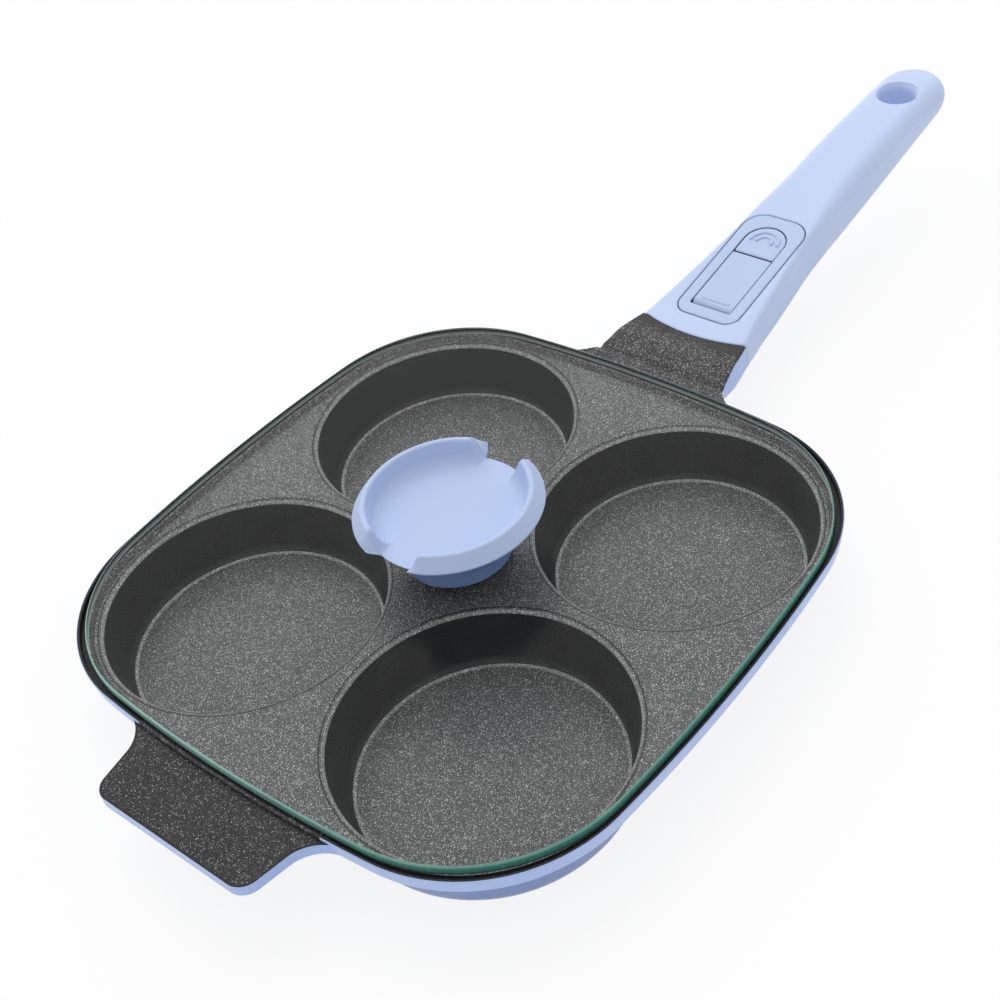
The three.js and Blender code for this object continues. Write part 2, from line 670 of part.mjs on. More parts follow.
function thumbButton() {
  const half = TILE_WIDTH / 2;
  const top = -SEAM / 2;
  const flangeTop = -PANEL_T - SEAT_GAP;
  const flangeLow = flangeTop - BUTTON_FLANGE_T;
  const flange = roundEndShape(BUTTON_START + SEAM, BUTTON_CENTRE, half + SEAM + BUTTON_FLANGE);
  const stemHalf = BUTTON_STEM / 2;
  const stemLow = flangeLow - BUTTON_STEM_LENGTH;
  const arcs = ARC_RADII.map((radius) => buttonArc(radius, top));
  return arcs.reduce(
    (body, arc) => body.add(arc),
    raised(roundEndShape(BUTTON_START, BUTTON_CENTRE, half), flangeTop - SEAM, top)
      .add(raised(flange, flangeLow, flangeTop))
      .add(box(BUTTON_CENTRE - stemHalf, BUTTON_CENTRE + stemHalf, -stemHalf, stemHalf, stemLow, flangeTop)),
  );
}

// A raised half-round rib for the thumb.
function buttonArc(radius, top) {
  const shape = new THREE.Shape();
  shape.absarc(BUTTON_CENTRE, 0, radius + ARC_WIDTH / 2, -Math.PI / 2, Math.PI / 2);
  shape.absarc(BUTTON_CENTRE, 0, radius - ARC_WIDTH / 2, Math.PI / 2, -Math.PI / 2, true);
  return raised(shape, top - ARC_HEIGHT, top + ARC_HEIGHT, 6);
}

// Heights of the clamp, from the tongue up
const SHOE_LOW = TONGUE_TOP + SEAT_GAP;
const PLATE_LOW = SHOE_LOW + SEAT_GAP;
const PLATE_TOP = PLATE_LOW + CHASSIS_PLATE;
const CAM_LOW = PIN_AT.z - CAM_THROW - CAM_R;
const SHOE_TOP = CAM_LOW - SEAT_GAP;
const SHOE_STEP = PLATE_TOP + SEAT_GAP;
const CLAMP_SPRING_Z = PLATE_TOP + STACK_GAP;
const SHOE_ARM_LOW = CLAMP_SPRING_Z + CLAMP_SPRING_LENGTH + STACK_GAP;
const SHOE_START = PIN_AT.x - SHOE_LENGTH / 2;
const SHOE_END = PIN_AT.x + SHOE_LENGTH / 2;
const SHOE_WEB = SHOE_END + SHOE_LIFT; // the web stands clear of the turning cam
const CHASSIS_X = PANEL_X + CHASSIS_FRONT;
const BUTTON_REACH = new THREE.Vector3(
  BUTTON_CENTRE + TILE_WIDTH / 2 + SEAM + BUTTON_FLANGE + SLIDE_GAP,
  0,
  -PANEL_T - SEAT_GAP - BUTTON_FLANGE_T - BUTTON_TRAVEL,
).applyMatrix4(latch.matrix); // where the pressed button's flange ends
const CHASSIS_END = BUTTON_REACH.x + CHASSIS_WALL;
const CHASSIS_INNER = TONGUE_WIDTH / 2 + SLIDE_GAP;
const CHASSIS_OUTER = CHASSIS_INNER + CHASSIS_WALL;
const BOSS_START = JOINT_X + TONGUE_REACH + SEAT_GAP * 2;

function clampShoe() {
  const half = SHOE_WIDTH / 2;
  const armEnd = SHOE_WEB + SHOE_ARM_LENGTH;
  return box(SHOE_START, SHOE_END, -half, half, SHOE_LOW, SHOE_TOP)
    .add(box(SHOE_END - SHOE_ARM_T, SHOE_WEB + SHOE_ARM_T, -half, half, SHOE_STEP, SHOE_TOP))
    .add(box(SHOE_WEB, SHOE_WEB + SHOE_ARM_T, -half, half, SHOE_STEP, SHOE_ARM_LOW + SHOE_ARM_T))
    .add(box(SHOE_WEB, armEnd, -half, half, SHOE_ARM_LOW, SHOE_ARM_LOW + SHOE_ARM_T));
}

const screwPlaces = [BOSS_START + CHASSIS_SCREW_INSET, CHASSIS_END - CHASSIS_WALL - CHASSIS_SCREW_INSET].flatMap((x) =>
  [-1, 1].map((side) => [x, (side * CHASSIS_SCREW_SPACING) / 2]),
);

// Everything above a plane under the panel, for trimming what stands in the pocket.
function abovePanelFloor(drop) {
  return tilted(box(-HANDLE_LENGTH / 2, HANDLE_LENGTH, -HANDLE_FRONT_WIDTH, HANDLE_FRONT_WIDTH, drop, HANDLE_LENGTH));
}

function buttonGuide(grow, low, high) {
  const half = BUTTON_STEM / 2 + grow;
  return tilted(box(BUTTON_CENTRE - half, BUTTON_CENTRE + half, -half, half, low, high));
}

const BUTTON_STEM_END = -PANEL_T - SEAT_GAP - BUTTON_FLANGE_T - BUTTON_STEM_LENGTH;
const BUTTON_FLOOR = new THREE.Vector3(BUTTON_CENTRE, 0, 0).applyMatrix4(latch.matrix);
const BUTTON_SEAT = -(BUTTON_FLOOR.z - PLATE_TOP) / Math.cos(TILT); // the chassis plate, down the button's axis
const GUIDE_TOP = -PANEL_T - SEAT_GAP * 2 - BUTTON_FLANGE_T - BUTTON_TRAVEL;

function latchChassis() {
  const roof = DECK_Z + HANDLE_LENGTH;
  const low = TONGUE_LOW;
  const width = [-CHASSIS_OUTER, CHASSIS_OUTER];
  let body = box(CHASSIS_X, CHASSIS_END, ...width, PLATE_LOW, roof);
  body = body.add(box(CHASSIS_X, BOSS_START - SEAT_GAP, ...width, low, roof));
  const room = [-CHASSIS_INNER, CHASSIS_INNER];
  const rear = CHASSIS_END - CHASSIS_WALL;
  body = body.subtract(box(CHASSIS_X - OVERRUN, rear, ...room, PLATE_TOP, roof + OVERRUN));
  body = body.subtract(box(CHASSIS_X - OVERRUN, CHASSIS_END + OVERRUN, ...room, low - OVERRUN, PLATE_LOW));
  const ear = LEVER_NOSE_R + CHASSIS_WALL;
  const earInner = TILE_WIDTH / 2 + SLIDE_GAP;
  for (const side of [-1, 1]) {
    const ends = [side * earInner, side * (CHASSIS_INNER + CHASSIS_WALL / 2)].sort((a, b) => a - b);
    body = body.add(box(PIN_AT.x - ear / 2, PIN_AT.x + ear / 2, ...ends, PLATE_TOP - CHASSIS_PLATE / 2, roof));
  }
  body = body.add(buttonGuide(SLIDE_GAP + GUIDE_WALL, BUTTON_SEAT, GUIDE_TOP));
  body = body.subtract(buttonGuide(SLIDE_GAP, BUTTON_SEAT + SEAT_GAP, GUIDE_TOP + BUTTON_STEM));
  body = body.subtract(abovePanelFloor(-PANEL_T - SEAT_GAP));
  const slotHalf = SHOE_WIDTH / 2 + SLIDE_GAP;
  body = body.subtract(
    box(SHOE_START - SLIDE_GAP, SHOE_END + SLIDE_GAP, -slotHalf, slotHalf, PLATE_LOW - OVERRUN, PLATE_TOP + SEAT_GAP),
  );
  body = body.subtract(crossBar(PIN_AT.x, PIN_AT.z, LEVER_PIN_R + PIN_GAP, 4 * CHASSIS_OUTER, 16));
  for (const [x, y] of screwPlaces) {
    body = body.subtract(post(x, y, CHASSIS_SCREW_R + PIN_GAP, PLATE_LOW - OVERRUN, PLATE_TOP + SEAT_GAP, 16));
  }
  return body;
}

function leverPin() {
  return crossBar(PIN_AT.x, PIN_AT.z, LEVER_PIN_R, 2 * CHASSIS_OUTER, 16);
}

function chassisScrew([x, y]) {
  const seat = PLATE_TOP + STACK_GAP;
  return post(x, y, CHASSIS_SCREW_R, seat - CHASSIS_SCREW_LENGTH, seat + CHASSIS_SCREW_HEAD_T / 2, 12).add(
    post(x, y, CHASSIS_SCREW_HEAD_R, seat, seat + CHASSIS_SCREW_HEAD_T, 16),
  );
}

// A closed coil spring standing on z = 0, one unbroken wire.
function coilSpring(length) {
  const stepsPerCurl = 8;
  const sides = 5;
  const wire = new THREE.CatmullRomCurve3();
  const middle = SPRING_R - SPRING_WIRE_R;
  const steps = SPRING_CURLS * stepsPerCurl;
  for (let i = 0; i <= steps; i++) {
    const angle = (2 * Math.PI * i) / stepsPerCurl;
    const rise = SPRING_WIRE_R + ((length - 2 * SPRING_WIRE_R) * i) / steps;
    wire.points.push(new THREE.Vector3(middle * Math.cos(angle), middle * Math.sin(angle), rise));
  }
  const rings = wire.points.map((centre, i) => {
    const angle = (2 * Math.PI * i) / stepsPerCurl;
    const outward = new THREE.Vector3(Math.cos(angle), Math.sin(angle), 0);
    return Array.from({ length: sides }, (_, k) => {
      const around = (2 * Math.PI * k) / sides;
      const point = centre.clone().addScaledVector(outward, SPRING_WIRE_R * Math.cos(around));
      point.z += SPRING_WIRE_R * Math.sin(around);
      return point;
    });
  });
  let least = Infinity;
  wire.points.forEach((centre, i) => {
    for (const other of wire.points.slice(i + stepsPerCurl / 2)) least = Math.min(least, centre.distanceTo(other));
  });
  console.log(`spring of ${length.toFixed(1)} mm: least gap to itself ${(least - 2 * SPRING_WIRE_R).toFixed(2)} mm`);
  return lofted(rings);
}

// Half width and height of the grip at a distance behind the joint.
function gripSection(distance) {
  const flare = Math.max(0, 1 - distance / FLARE_LENGTH);
  const past = Math.max(0, distance - FLARE_LENGTH) / (HANDLE_LENGTH - FLARE_LENGTH);
  const waist = THREE.MathUtils.lerp(HANDLE_WAIST_WIDTH, HANDLE_END_WIDTH, past);
  const width = waist + (HANDLE_FRONT_WIDTH - HANDLE_WAIST_WIDTH) * Math.pow(flare, FLARE_POWER);
  const swell = Math.sin((Math.PI / 2) * Math.min(1, Math.max(0, distance) / BELLY_LENGTH));
  const fall = 1 - Math.cos((Math.PI / 2) * Math.max(0, (distance - BELLY_LENGTH) / (HANDLE_LENGTH - BELLY_LENGTH)));
  const height =
    HANDLE_FRONT_HEIGHT +
    (HANDLE_BELLY_HEIGHT - HANDLE_FRONT_HEIGHT) * swell -
    (HANDLE_BELLY_HEIGHT - HANDLE_END_HEIGHT) * fall;
  const grip = smoothStep(distance, EDGE_ROUND_START, EDGE_ROUND_RUN);
  const upper = THREE.MathUtils.lerp(HANDLE_FRONT_EDGE_R, HANDLE_GRIP_EDGE_R, grip);
  const belly = smoothStep(distance, BELLY_ROUND_START, BELLY_ROUND_RUN);
  const lower = THREE.MathUtils.lerp(HANDLE_FRONT_EDGE_R, HANDLE_BELLY_EDGE_R, belly);
  return { half: width / 2, height, upper, lower };
}

// A rectangle in the plane of x with rounded upper and lower corners, as a ring.
function roundedRing(x, half, low, high, upper, lower) {
  const cornerSteps = 4;
  const corners = [
    [half - lower, low + lower, lower, -90],
    [half - upper, high - upper, upper, 0],
    [-half + upper, high - upper, upper, 90],
    [-half + lower, low + lower, lower, 180],
  ];
  return corners.flatMap(([y, z, radius, start]) =>
    arcPoints(y, z, radius, start, start + 90, cornerSteps).map(([py, pz]) => new THREE.Vector3(x, py, pz)),
  );
}

function gripBody() {
  const stations = 15;
  const endSteps = 5;
  const endTurn = THREE.MathUtils.degToRad(80);
  const start = -JOINT_GAP;
  const endStart = HANDLE_LENGTH - HANDLE_END_RUN;
  const rings = [];
  const addRing = (distance, narrow, drop) => {
    const { half, height, upper, lower } = gripSection(distance);
    const x = JOINT_X + distance;
    const high = handleTop(x) - drop;
    const low = high - height + 2 * drop;
    const most = ROUND_SHARE * Math.min(half * narrow, (high - low) / 2);
    const upperR = Math.min(upper, most);
    const lowerR = Math.min(lower, ROUND_SHARE * half * narrow, ROUND_SHARE * (high - low - upperR));
    rings.push(roundedRing(x, half * narrow, low, high, upperR, lowerR));
  };
  for (let i = 0; i < stations; i++) addRing(start + ((endStart - start) * i) / stations, 1, 0);
  for (let i = 0; i <= endSteps; i++) {
    const angle = (endTurn * i) / endSteps;
    const bulge = Math.cos(angle);
    const along = (HANDLE_END_RUN * Math.sin(angle)) / Math.sin(endTurn);
    addRing(endStart + along, Math.pow(bulge, HANDLE_END_SQUARE), HANDLE_END_DROP * (1 - bulge));
  }
  return lofted(rings);
}

function handleShell() {
  const roof = DECK_Z + HANDLE_LENGTH;
  const front = JOINT_X - JOINT_BOW_R;
  const wide = HANDLE_FRONT_WIDTH;
  const floor = TONGUE_LOW - SEAT_GAP;
  const pocket = CHASSIS_OUTER + SEAT_GAP;
  const beforeJoint = box(front, JOINT_X + JOINT_BOW_R, -wide, wide, 0, roof).subtract(jointDrum(JOINT_BOW_R));
  let body = gripBody().subtract(beforeJoint);
  body = body.subtract(tilted(raised(panelOutline(SEAM), -PANEL_T - SEAT_GAP, HANDLE_LENGTH)));
  const bossTop = PLATE_LOW - STACK_GAP;
  body = body.subtract(box(CHASSIS_X - SEAT_GAP, CHASSIS_END + SEAT_GAP, -pocket, pocket, bossTop, roof));
  body = body.subtract(box(CHASSIS_X - SEAT_GAP, BOSS_START, -pocket, pocket, floor, roof));
  body = body.subtract(
    box(front, CHASSIS_X, -CHASSIS_INNER, CHASSIS_INNER, floor, TONGUE_TOP + SEAT_GAP),
  );
  for (const [x, y] of screwPlaces) {
    const tipZ = PLATE_TOP + STACK_GAP - CHASSIS_SCREW_LENGTH - SEAT_GAP;
    body = body.subtract(post(x, y, CHASSIS_SCREW_R + PIN_GAP, tipZ, PLATE_LOW, 16));
  }
  const hole = post(TIP_X - HANG_HOLE_SETBACK, 0, HANG_HOLE_R, 0, roof, 32);
  return body.subtract(hole);
}

// The whole pan
const pan = new THREE.Group();
pan.add(piece("pan_casting", panCasting(), "coating"));
pan.add(piece("tongue_plate", tonguePlate(), "steel"));
for (const place of rivetPlaces) pan.add(piece(place.name, tongueRivet(place), "steel"));

const lid = new THREE.Group();
const screwHole = KNOB_SCREW_R + SEAT_GAP;
lid.add(piece("glass_lid", glassLid(), "glass"));
lid.add(piece("knob_dish", knobDish(), "blue"));
lid.add(piece("knob_neck", knobNeck(), "blueDark"));
lid.add(piece("knob_insert", ring(INSERT_R, screwHole, BOSS_Z, BOSS_Z + INSERT_LENGTH), "brass"));
lid.add(piece("knob_screw", knobScrew(), "steel"));
lid.add(piece("knob_washer", ring(WASHER_R, screwHole, WASHER_Z, WASHER_Z + WASHER_T), "steel"));
lid.add(piece("knob_gasket_lower", ring(GASKET_R, screwHole, GASKET_LOW_Z, GASKET_LOW_Z + GASKET_T), "silicone"));
lid.add(piece("knob_gasket_upper", ring(GASKET_R, screwHole, GASKET_HIGH_Z, GASKET_HIGH_Z + GASKET_T), "silicone"));

const handle = new THREE.Group();
handle.add(piece("handle_shell", handleShell(), "blue"));
handle.add(piece("latch_chassis", latchChassis(), "innerPlastic"));
handle.add(piece("lever_pin", leverPin(), "steel"));
handle.add(piece("clamp_shoe", clampShoe(), "steel"));
screwPlaces.forEach((place, i) => handle.add(piece(`chassis_screw_${i + 1}`, chassisScrew(place), "steel")));
for (const side of [-1, 1]) {
  const name = side > 0 ? "clamp_spring_left" : "clamp_spring_right";
  const spring = piece(name, coilSpring(CLAMP_SPRING_LENGTH), "steel");
  const across = (side * CLAMP_SPRING_SPACING) / 2;
  spring.position.set(SHOE_WEB + SHOE_ARM_LENGTH - CLAMP_SPRING_INSET, across, CLAMP_SPRING_Z);
  handle.add(spring);
}
latch.add(piece("latch_panel", latchPanel(), "blue"));
latch.add(piece("release_lever", releaseLever(), "blue"));
latch.add(piece("thumb_button", thumbButton(), "blue"));
const buttonSpringLow = BUTTON_SEAT + SEAT_GAP + STACK_GAP;
const buttonSpring = piece("button_spring", coilSpring(BUTTON_STEM_END - STACK_GAP - buttonSpringLow), "steel");
buttonSpring.position.set(BUTTON_CENTRE, 0, buttonSpringLow);
latch.add(buttonSpring);
handle.add(latch);

const pancakePan = new THREE.Group();
pancakePan.add(pan, lid, handle);
pancakePan.position.x = -(TAB_X + TIP_X) / 2;
pancakePan.updateMatrixWorld(true);

export default pancakePan;
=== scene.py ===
import math

import bmesh
import bpy
from mathutils import Matrix, Vector


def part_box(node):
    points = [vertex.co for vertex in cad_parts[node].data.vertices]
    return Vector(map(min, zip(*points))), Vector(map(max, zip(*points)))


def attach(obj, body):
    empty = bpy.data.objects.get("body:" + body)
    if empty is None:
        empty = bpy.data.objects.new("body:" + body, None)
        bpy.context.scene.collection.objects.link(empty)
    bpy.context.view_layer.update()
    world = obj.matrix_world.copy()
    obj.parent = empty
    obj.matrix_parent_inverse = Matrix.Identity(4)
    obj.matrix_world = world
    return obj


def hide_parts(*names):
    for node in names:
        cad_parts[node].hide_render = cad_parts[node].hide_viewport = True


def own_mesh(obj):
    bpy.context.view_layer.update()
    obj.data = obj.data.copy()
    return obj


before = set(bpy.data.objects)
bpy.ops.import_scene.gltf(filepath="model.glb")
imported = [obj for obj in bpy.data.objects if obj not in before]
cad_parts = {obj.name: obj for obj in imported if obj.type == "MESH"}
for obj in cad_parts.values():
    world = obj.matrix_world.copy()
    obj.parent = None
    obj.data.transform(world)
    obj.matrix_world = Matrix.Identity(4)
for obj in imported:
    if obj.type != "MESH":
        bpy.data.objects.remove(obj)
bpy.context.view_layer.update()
scene = bpy.context.scene
scene.view_settings.view_transform = "Standard"
mm = 0.001
glassLow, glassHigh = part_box("glass_lid")
lidMiddle = (glassLow.x + glassHigh.x) / 2
panPlace = Matrix.Translation((lidMiddle, 0, 0)) @ Matrix.Scale(mm, 4)  # pan millimetres to row metres
print("frame loaded")


# node helpers
def feed(node, inputs):  # sockets are joined, plain values are set
    for label, value in inputs.items():
        if isinstance(value, bpy.types.NodeSocket):
            node.id_data.links.new(value, node.inputs[label])
        else:
            node.inputs[label].default_value = value


def addNode(tree, kind, inputs):
    node = tree.nodes.new(kind)
    feed(node, inputs)
    return node


def mathNode(tree, operation, first, second):
    node = addNode(tree, "ShaderNodeMath", {0: first, 1: second})
    node.operation = operation
    return node.outputs[0]


def remap(tree, value, fromLow, fromHigh, toLow, toHigh):
    spans = {"From Min": fromLow, "From Max": fromHigh, "To Min": toLow, "To Max": toHigh}
    return addNode(tree, "ShaderNodeMapRange", {"Value": value, **spans}).outputs["Result"]


def mixColour(tree, factor, first, second):
    node = tree.nodes.new("ShaderNodeMix")
    node.data_type = "RGBA"
    feed(node, {0: factor, 6: first, 7: second})
    return node.outputs[2]


def noiseNode(tree, vector, scale, detail, roughness=0.5):
    inputs = {"Vector": vector, "Scale": scale, "Detail": detail, "Roughness": roughness}
    return addNode(tree, "ShaderNodeTexNoise", inputs).outputs["Fac"]


def objectCoords(tree):
    return tree.nodes.new("ShaderNodeTexCoord").outputs["Object"]


def axisParts(tree, coords):
    return addNode(tree, "ShaderNodeSeparateXYZ", {0: coords}).outputs


def clearShader(tree, tint):
    return addNode(tree, "ShaderNodeBsdfTransparent", {"Color": tint}).outputs[0]


def blendShaders(tree, factor, first, second, outName="Material Output"):
    blend = addNode(tree, "ShaderNodeMixShader", {0: factor, 1: first, 2: second})
    feed(tree.nodes[outName], {"Surface": blend.outputs[0]})


def newMaterial(name):
    mat = bpy.data.materials.new(name)
    mat.use_nodes = True
    return mat, mat.node_tree, mat.node_tree.nodes["Principled BSDF"]


# camera and light
photoView = {
    "place": (-0.358631, -0.300205, 0.401058),
    "right": (0.603307, -0.788011, -0.122718),
    "up": (0.573748, 0.321987, 0.753085),
    "back": (-0.553926, -0.524751, 0.646377),
    "lens": 56.287,
    "sensor": 36,
    "shift": (-0.06, -0.05),
    "nearest": 0.01,
}
studio = {
    "white": (1, 1, 1, 1),
    "worldLevel": 0.66,
    "seenLevel": 1,
    "keyLevel": 1.55,
    "keyFrom": (0.38, 0.48, 0.79),  # behind the pan, above
    "keySpread": 1.1,
    "floorSize": 4.0,
    "floorDrop": 0.0002,
    "paper": (0.9, 0.9, 0.9, 1),
    "paperRough": 0.9,
    "floorLift": 0.86,  # share of plain white the camera sees on the floor
}


def setCamera():
    cameraData = bpy.data.cameras.new("photoCamera")
    camera = bpy.data.objects.new("photoCamera", cameraData)
    scene.collection.objects.link(camera)
    axes = [Vector(photoView[key]) for key in ("right", "up", "back")]
    turn = Matrix(axes).transposed().to_4x4()
    camera.matrix_world = Matrix.Translation(photoView["place"]) @ turn
    cameraData.lens = photoView["lens"]
    cameraData.sensor_width = photoView["sensor"]
    cameraData.shift_x, cameraData.shift_y = photoView["shift"]
    cameraData.clip_start = photoView["nearest"]
    scene.camera = camera


def seenMask(tree):  # rays that should meet plain white
    path = tree.nodes.new("ShaderNodeLightPath")
    first = mathNode(tree, "MAXIMUM", path.outputs["Is Camera Ray"], path.outputs["Is Glossy Ray"])
    return mathNode(tree, "MAXIMUM", first, path.outputs["Is Transmission Ray"])


def setStudio():
    world = bpy.data.worlds.new("studioWorld")
    world.use_nodes = True
    tree = world.node_tree
    tree.nodes.clear()
    shades = []
    for level in ("worldLevel", "seenLevel"):
        inputs = {"Color": studio["white"], "Strength": studio[level]}
        shades.append(addNode(tree, "ShaderNodeBackground", inputs).outputs[0])
    out = tree.nodes.new("ShaderNodeOutputWorld")
    blendShaders(tree, seenMask(tree), *shades, out.name)
    scene.world = world
    key = bpy.data.objects.new("keyLight", bpy.data.lights.new("keyLight", "SUN"))
    key.data.energy = studio["keyLevel"]
    key.data.angle = studio["keySpread"]
    key.visible_glossy = False  # no lamp disc in the glass
    key.visible_transmission = False
    key.rotation_euler = Vector(studio["keyFrom"]).to_track_quat("Z", "Y").to_euler()
    scene.collection.objects.link(key)


def setFloor():
    bm = bmesh.new()
    bmesh.ops.create_grid(bm, x_segments=4, y_segments=4, size=studio["floorSize"])
    bmesh.ops.translate(bm, vec=(0, 0, -studio["floorDrop"]), verts=bm.verts)
    mesh = bpy.data.meshes.new("studioFloor")
    bm.to_mesh(mesh)
    bm.free()
    floor = bpy.data.objects.new("studioFloor", mesh)
    scene.collection.objects.link(floor)
    mat, tree, paper = newMaterial("floorPaper")
    feed(paper, {"Base Color": studio["paper"], "Roughness": studio["paperRough"]})
    glow = tree.nodes.new("ShaderNodeEmission")
    lift = mathNode(tree, "MULTIPLY", seenMask(tree), studio["floorLift"])
    blendShaders(tree, lift, paper.outputs[0], glow.outputs[0])
    mesh.materials.append(mat)


# surface groups, each giving colour, roughness and height
coatInputs = ("Ground", "Fleck", "Fleck Scale", "Fleck Share", "Gloss")
skinInputs = ("Tone", "Low Tone", "Skin Scale", "Gloss")
metalInputs = ("Tone", "Low Tone", "Line Scale", "Gloss")
surfaceOutputs = ("Color", "Roughness", "Height")
colourSockets = ("Ground", "Fleck", "Tone", "Low Tone", "Color")


def newGroup(name, inputs):
    tree = bpy.data.node_groups.new(name, "ShaderNodeTree")
    for way, labels in (("INPUT", inputs), ("OUTPUT", surfaceOutputs)):
        for label in labels:
            kind = "NodeSocketColor" if label in colourSockets else "NodeSocketFloat"
            tree.interface.new_socket(name=label, in_out=way, socket_type=kind)
    return tree, tree.nodes.new("NodeGroupInput").outputs, objectCoords(tree)


def closeGroup(tree, *results):
    addNode(tree, "NodeGroupOutput", dict(zip(surfaceOutputs, results)))
    return tree


fleckLook = {
    "layers": ((1.0, 1.0), (1.9, 0.6)),  # scale and strength of each size of fleck
    "spot": (0.22, 0.5),
    "choice": 0.12,
    "dimmest": 0.25,
    "cloudScale": 45.0,
    "cloudShade": 0.22,
    "fleckShine": 0.12,
    "grainScale": 1400.0,
}
cloudSpan = (0.3, 0.7)


def makeFleckGroup():  # stone-look coating: pale flecks in two sizes on a dark ground
    look = fleckLook
    tree, given, coords = newGroup("fleckCoat", coatInputs)
    total = None
    for grow, strength in look["layers"]:
        scale = mathNode(tree, "MULTIPLY", given["Fleck Scale"], grow)
        cells = addNode(tree, "ShaderNodeTexVoronoi", {"Vector": coords, "Scale": scale})
        parts = addNode(tree, "ShaderNodeSeparateColor", {0: cells.outputs["Color"]})
        spot = remap(tree, cells.outputs["Distance"], *look["spot"], 1.0, 0.0)
        least = mathNode(tree, "SUBTRACT", 1.0, given["Fleck Share"])
        most = mathNode(tree, "ADD", least, look["choice"])
        chosen = remap(tree, parts.outputs[0], least, most, 0.0, 1.0)
        bright = remap(tree, parts.outputs[1], 0.0, 1.0, look["dimmest"] * strength, strength)
        layer = mathNode(tree, "MULTIPLY", mathNode(tree, "MULTIPLY", spot, chosen), bright)
        total = layer if total is None else mathNode(tree, "MAXIMUM", total, layer)
    cloud = noiseNode(tree, coords, look["cloudScale"], 3.0)
    shade = remap(tree, cloud, *cloudSpan, 0.0, look["cloudShade"])
    ground = mixColour(tree, shade, given["Ground"], (0.0, 0.0, 0.0, 1))
    colour = mixColour(tree, total, ground, given["Fleck"])
    rough = mathNode(tree, "SUBTRACT", given["Gloss"], mathNode(tree, "MULTIPLY", total, look["fleckShine"]))
    rough = mathNode(tree, "ADD", rough, remap(tree, cloud, *cloudSpan, -0.04, 0.04))
    grain = noiseNode(tree, coords, look["grainScale"], 2.0)
    return closeGroup(tree, colour, rough, mathNode(tree, "ADD", total, grain))


def makeSkinGroup():  # satin moulding or enamel: slow tone change and a fine skin
    tree, given, coords = newGroup("satinSkin", skinInputs)
    cloud = noiseNode(tree, coords, 28.0, 2.0)
    skin = noiseNode(tree, coords, given["Skin Scale"], 2.0, 0.6)
    slow = remap(tree, cloud, 0.25, 0.75, 0.0, 1.0)
    colour = mixColour(tree, slow, given["Tone"], given["Low Tone"])
    rough = mathNode(tree, "ADD", given["Gloss"], remap(tree, skin, *cloudSpan, -0.04, 0.06))
    rough = mathNode(tree, "ADD", rough, remap(tree, cloud, *cloudSpan, -0.03, 0.03))
    return closeGroup(tree, colour, rough, skin)


def makeMetalGroup():  # drawn or turned metal: fine lines along one direction
    tree, given, coords = newGroup("drawnMetal", metalInputs)
    stretch = addNode(tree, "ShaderNodeMapping", {"Scale": (0.04, 1.0, 1.0), "Vector": coords})
    lines = noiseNode(tree, stretch.outputs[0], given["Line Scale"], 3.0, 0.6)
    streak = remap(tree, lines, *cloudSpan, 0.0, 1.0)
    colour = mixColour(tree, streak, given["Tone"], given["Low Tone"])
    rough = mathNode(tree, "ADD", given["Gloss"], remap(tree, lines, *cloudSpan, -0.05, 0.1))
    return closeGroup(tree, colour, rough, lines)


# finishes
finishes = {}
fineDepth, enamelDepth = 0.0001, 0.0002  # depth of the bump
deckGround, deckFleck = (0.062, 0.061, 0.063, 1), (0.98, 0.975, 0.98, 1)
stemGround = (0.040, 0.039, 0.040, 1)
coats = {  # group inputs, then bump strength and specular level
    "deckCoat": (deckGround, deckFleck, 2350.0, 0.41, 0.36, 0.3, 0.6),
    # painted shade: the deck coat turning dark and fleckless just under the mouth edge
    "mouthShadeCoat": (deckGround, deckFleck, 2350.0, 0.41, 0.36, 0.2, 0.35),
    # smoother coat on the cup walls, darkened with painted shade
    "wallShadeCoat": ((0.034, 0.034, 0.035, 1), (0.05, 0.05, 0.05, 1), 2300.0, 0.06, 0.55, 0.015, 0.3),
    # painted highlight: brighter flecked coat for the roundings of cup mouths and floors
    "edgeHighlightCoat": ((0.19, 0.188, 0.19, 1), deckFleck, 1800.0, 0.7, 0.36, 0.2, 0.4),
    "tabCoat": ((0.025, 0.0245, 0.026, 1), (0.84, 0.83, 0.84, 1), 2700.0, 0.21, 0.5, 0.3, 0.3),
    "stemCoatAndReflection": (stemGround, (0.85, 0.84, 0.84, 1), 2200.0, 0.37, 0.5, 0.3, 0.3),
    "lipCoat": ((0.010, 0.010, 0.011, 1), (0.20, 0.20, 0.20, 1), 1900.0, 0.10, 0.42, 0.2, 0.4),
}
skins = {  # group inputs, then bump strength and specular level
    "gripBlue": ((0.555, 0.658, 0.905, 1), (0.535, 0.642, 0.89, 1), 2400.0, 0.48, 0.06, 0.4),
    "panelBlue": ((0.495, 0.605, 0.83, 1), (0.475, 0.59, 0.815, 1), 2600.0, 0.44, 0.05, 0.4),
    "knobBlue": ((0.475, 0.575, 0.82, 1), (0.455, 0.56, 0.805, 1), 2400.0, 0.46, 0.05, 0.4),
    "neckBlue": ((0.15, 0.23, 0.445, 1), (0.137, 0.214, 0.42, 1), 2000.0, 0.5, 0.05, 0.35),
    # painted shade: dark navy for faces inside the gaps and pockets between parts
    "seamShadeBlue": ((0.06, 0.09, 0.17, 1), (0.05, 0.075, 0.15, 1), 1500.0, 0.6, 0.1, 0.3),
    "softSeal": ((0.28, 0.34, 0.48, 1), (0.24, 0.30, 0.43, 1), 1200.0, 0.7, 0.15, 0.3),
    "trayPlastic": ((0.10, 0.115, 0.14, 1), (0.08, 0.095, 0.12, 1), 1300.0, 0.6, 0.15, 0.35),
}
enamels = {  # group inputs, then bump strength
    "panEnamel": ((0.41, 0.545, 0.90, 1), (0.38, 0.515, 0.87, 1), 500.0, 0.38, 0.08),
    # painted shade: darker enamel on the cup bottoms under the pan
    "cupShadeEnamel": ((0.17, 0.265, 0.56, 1), (0.155, 0.25, 0.535, 1), 500.0, 0.38, 0.08),
}
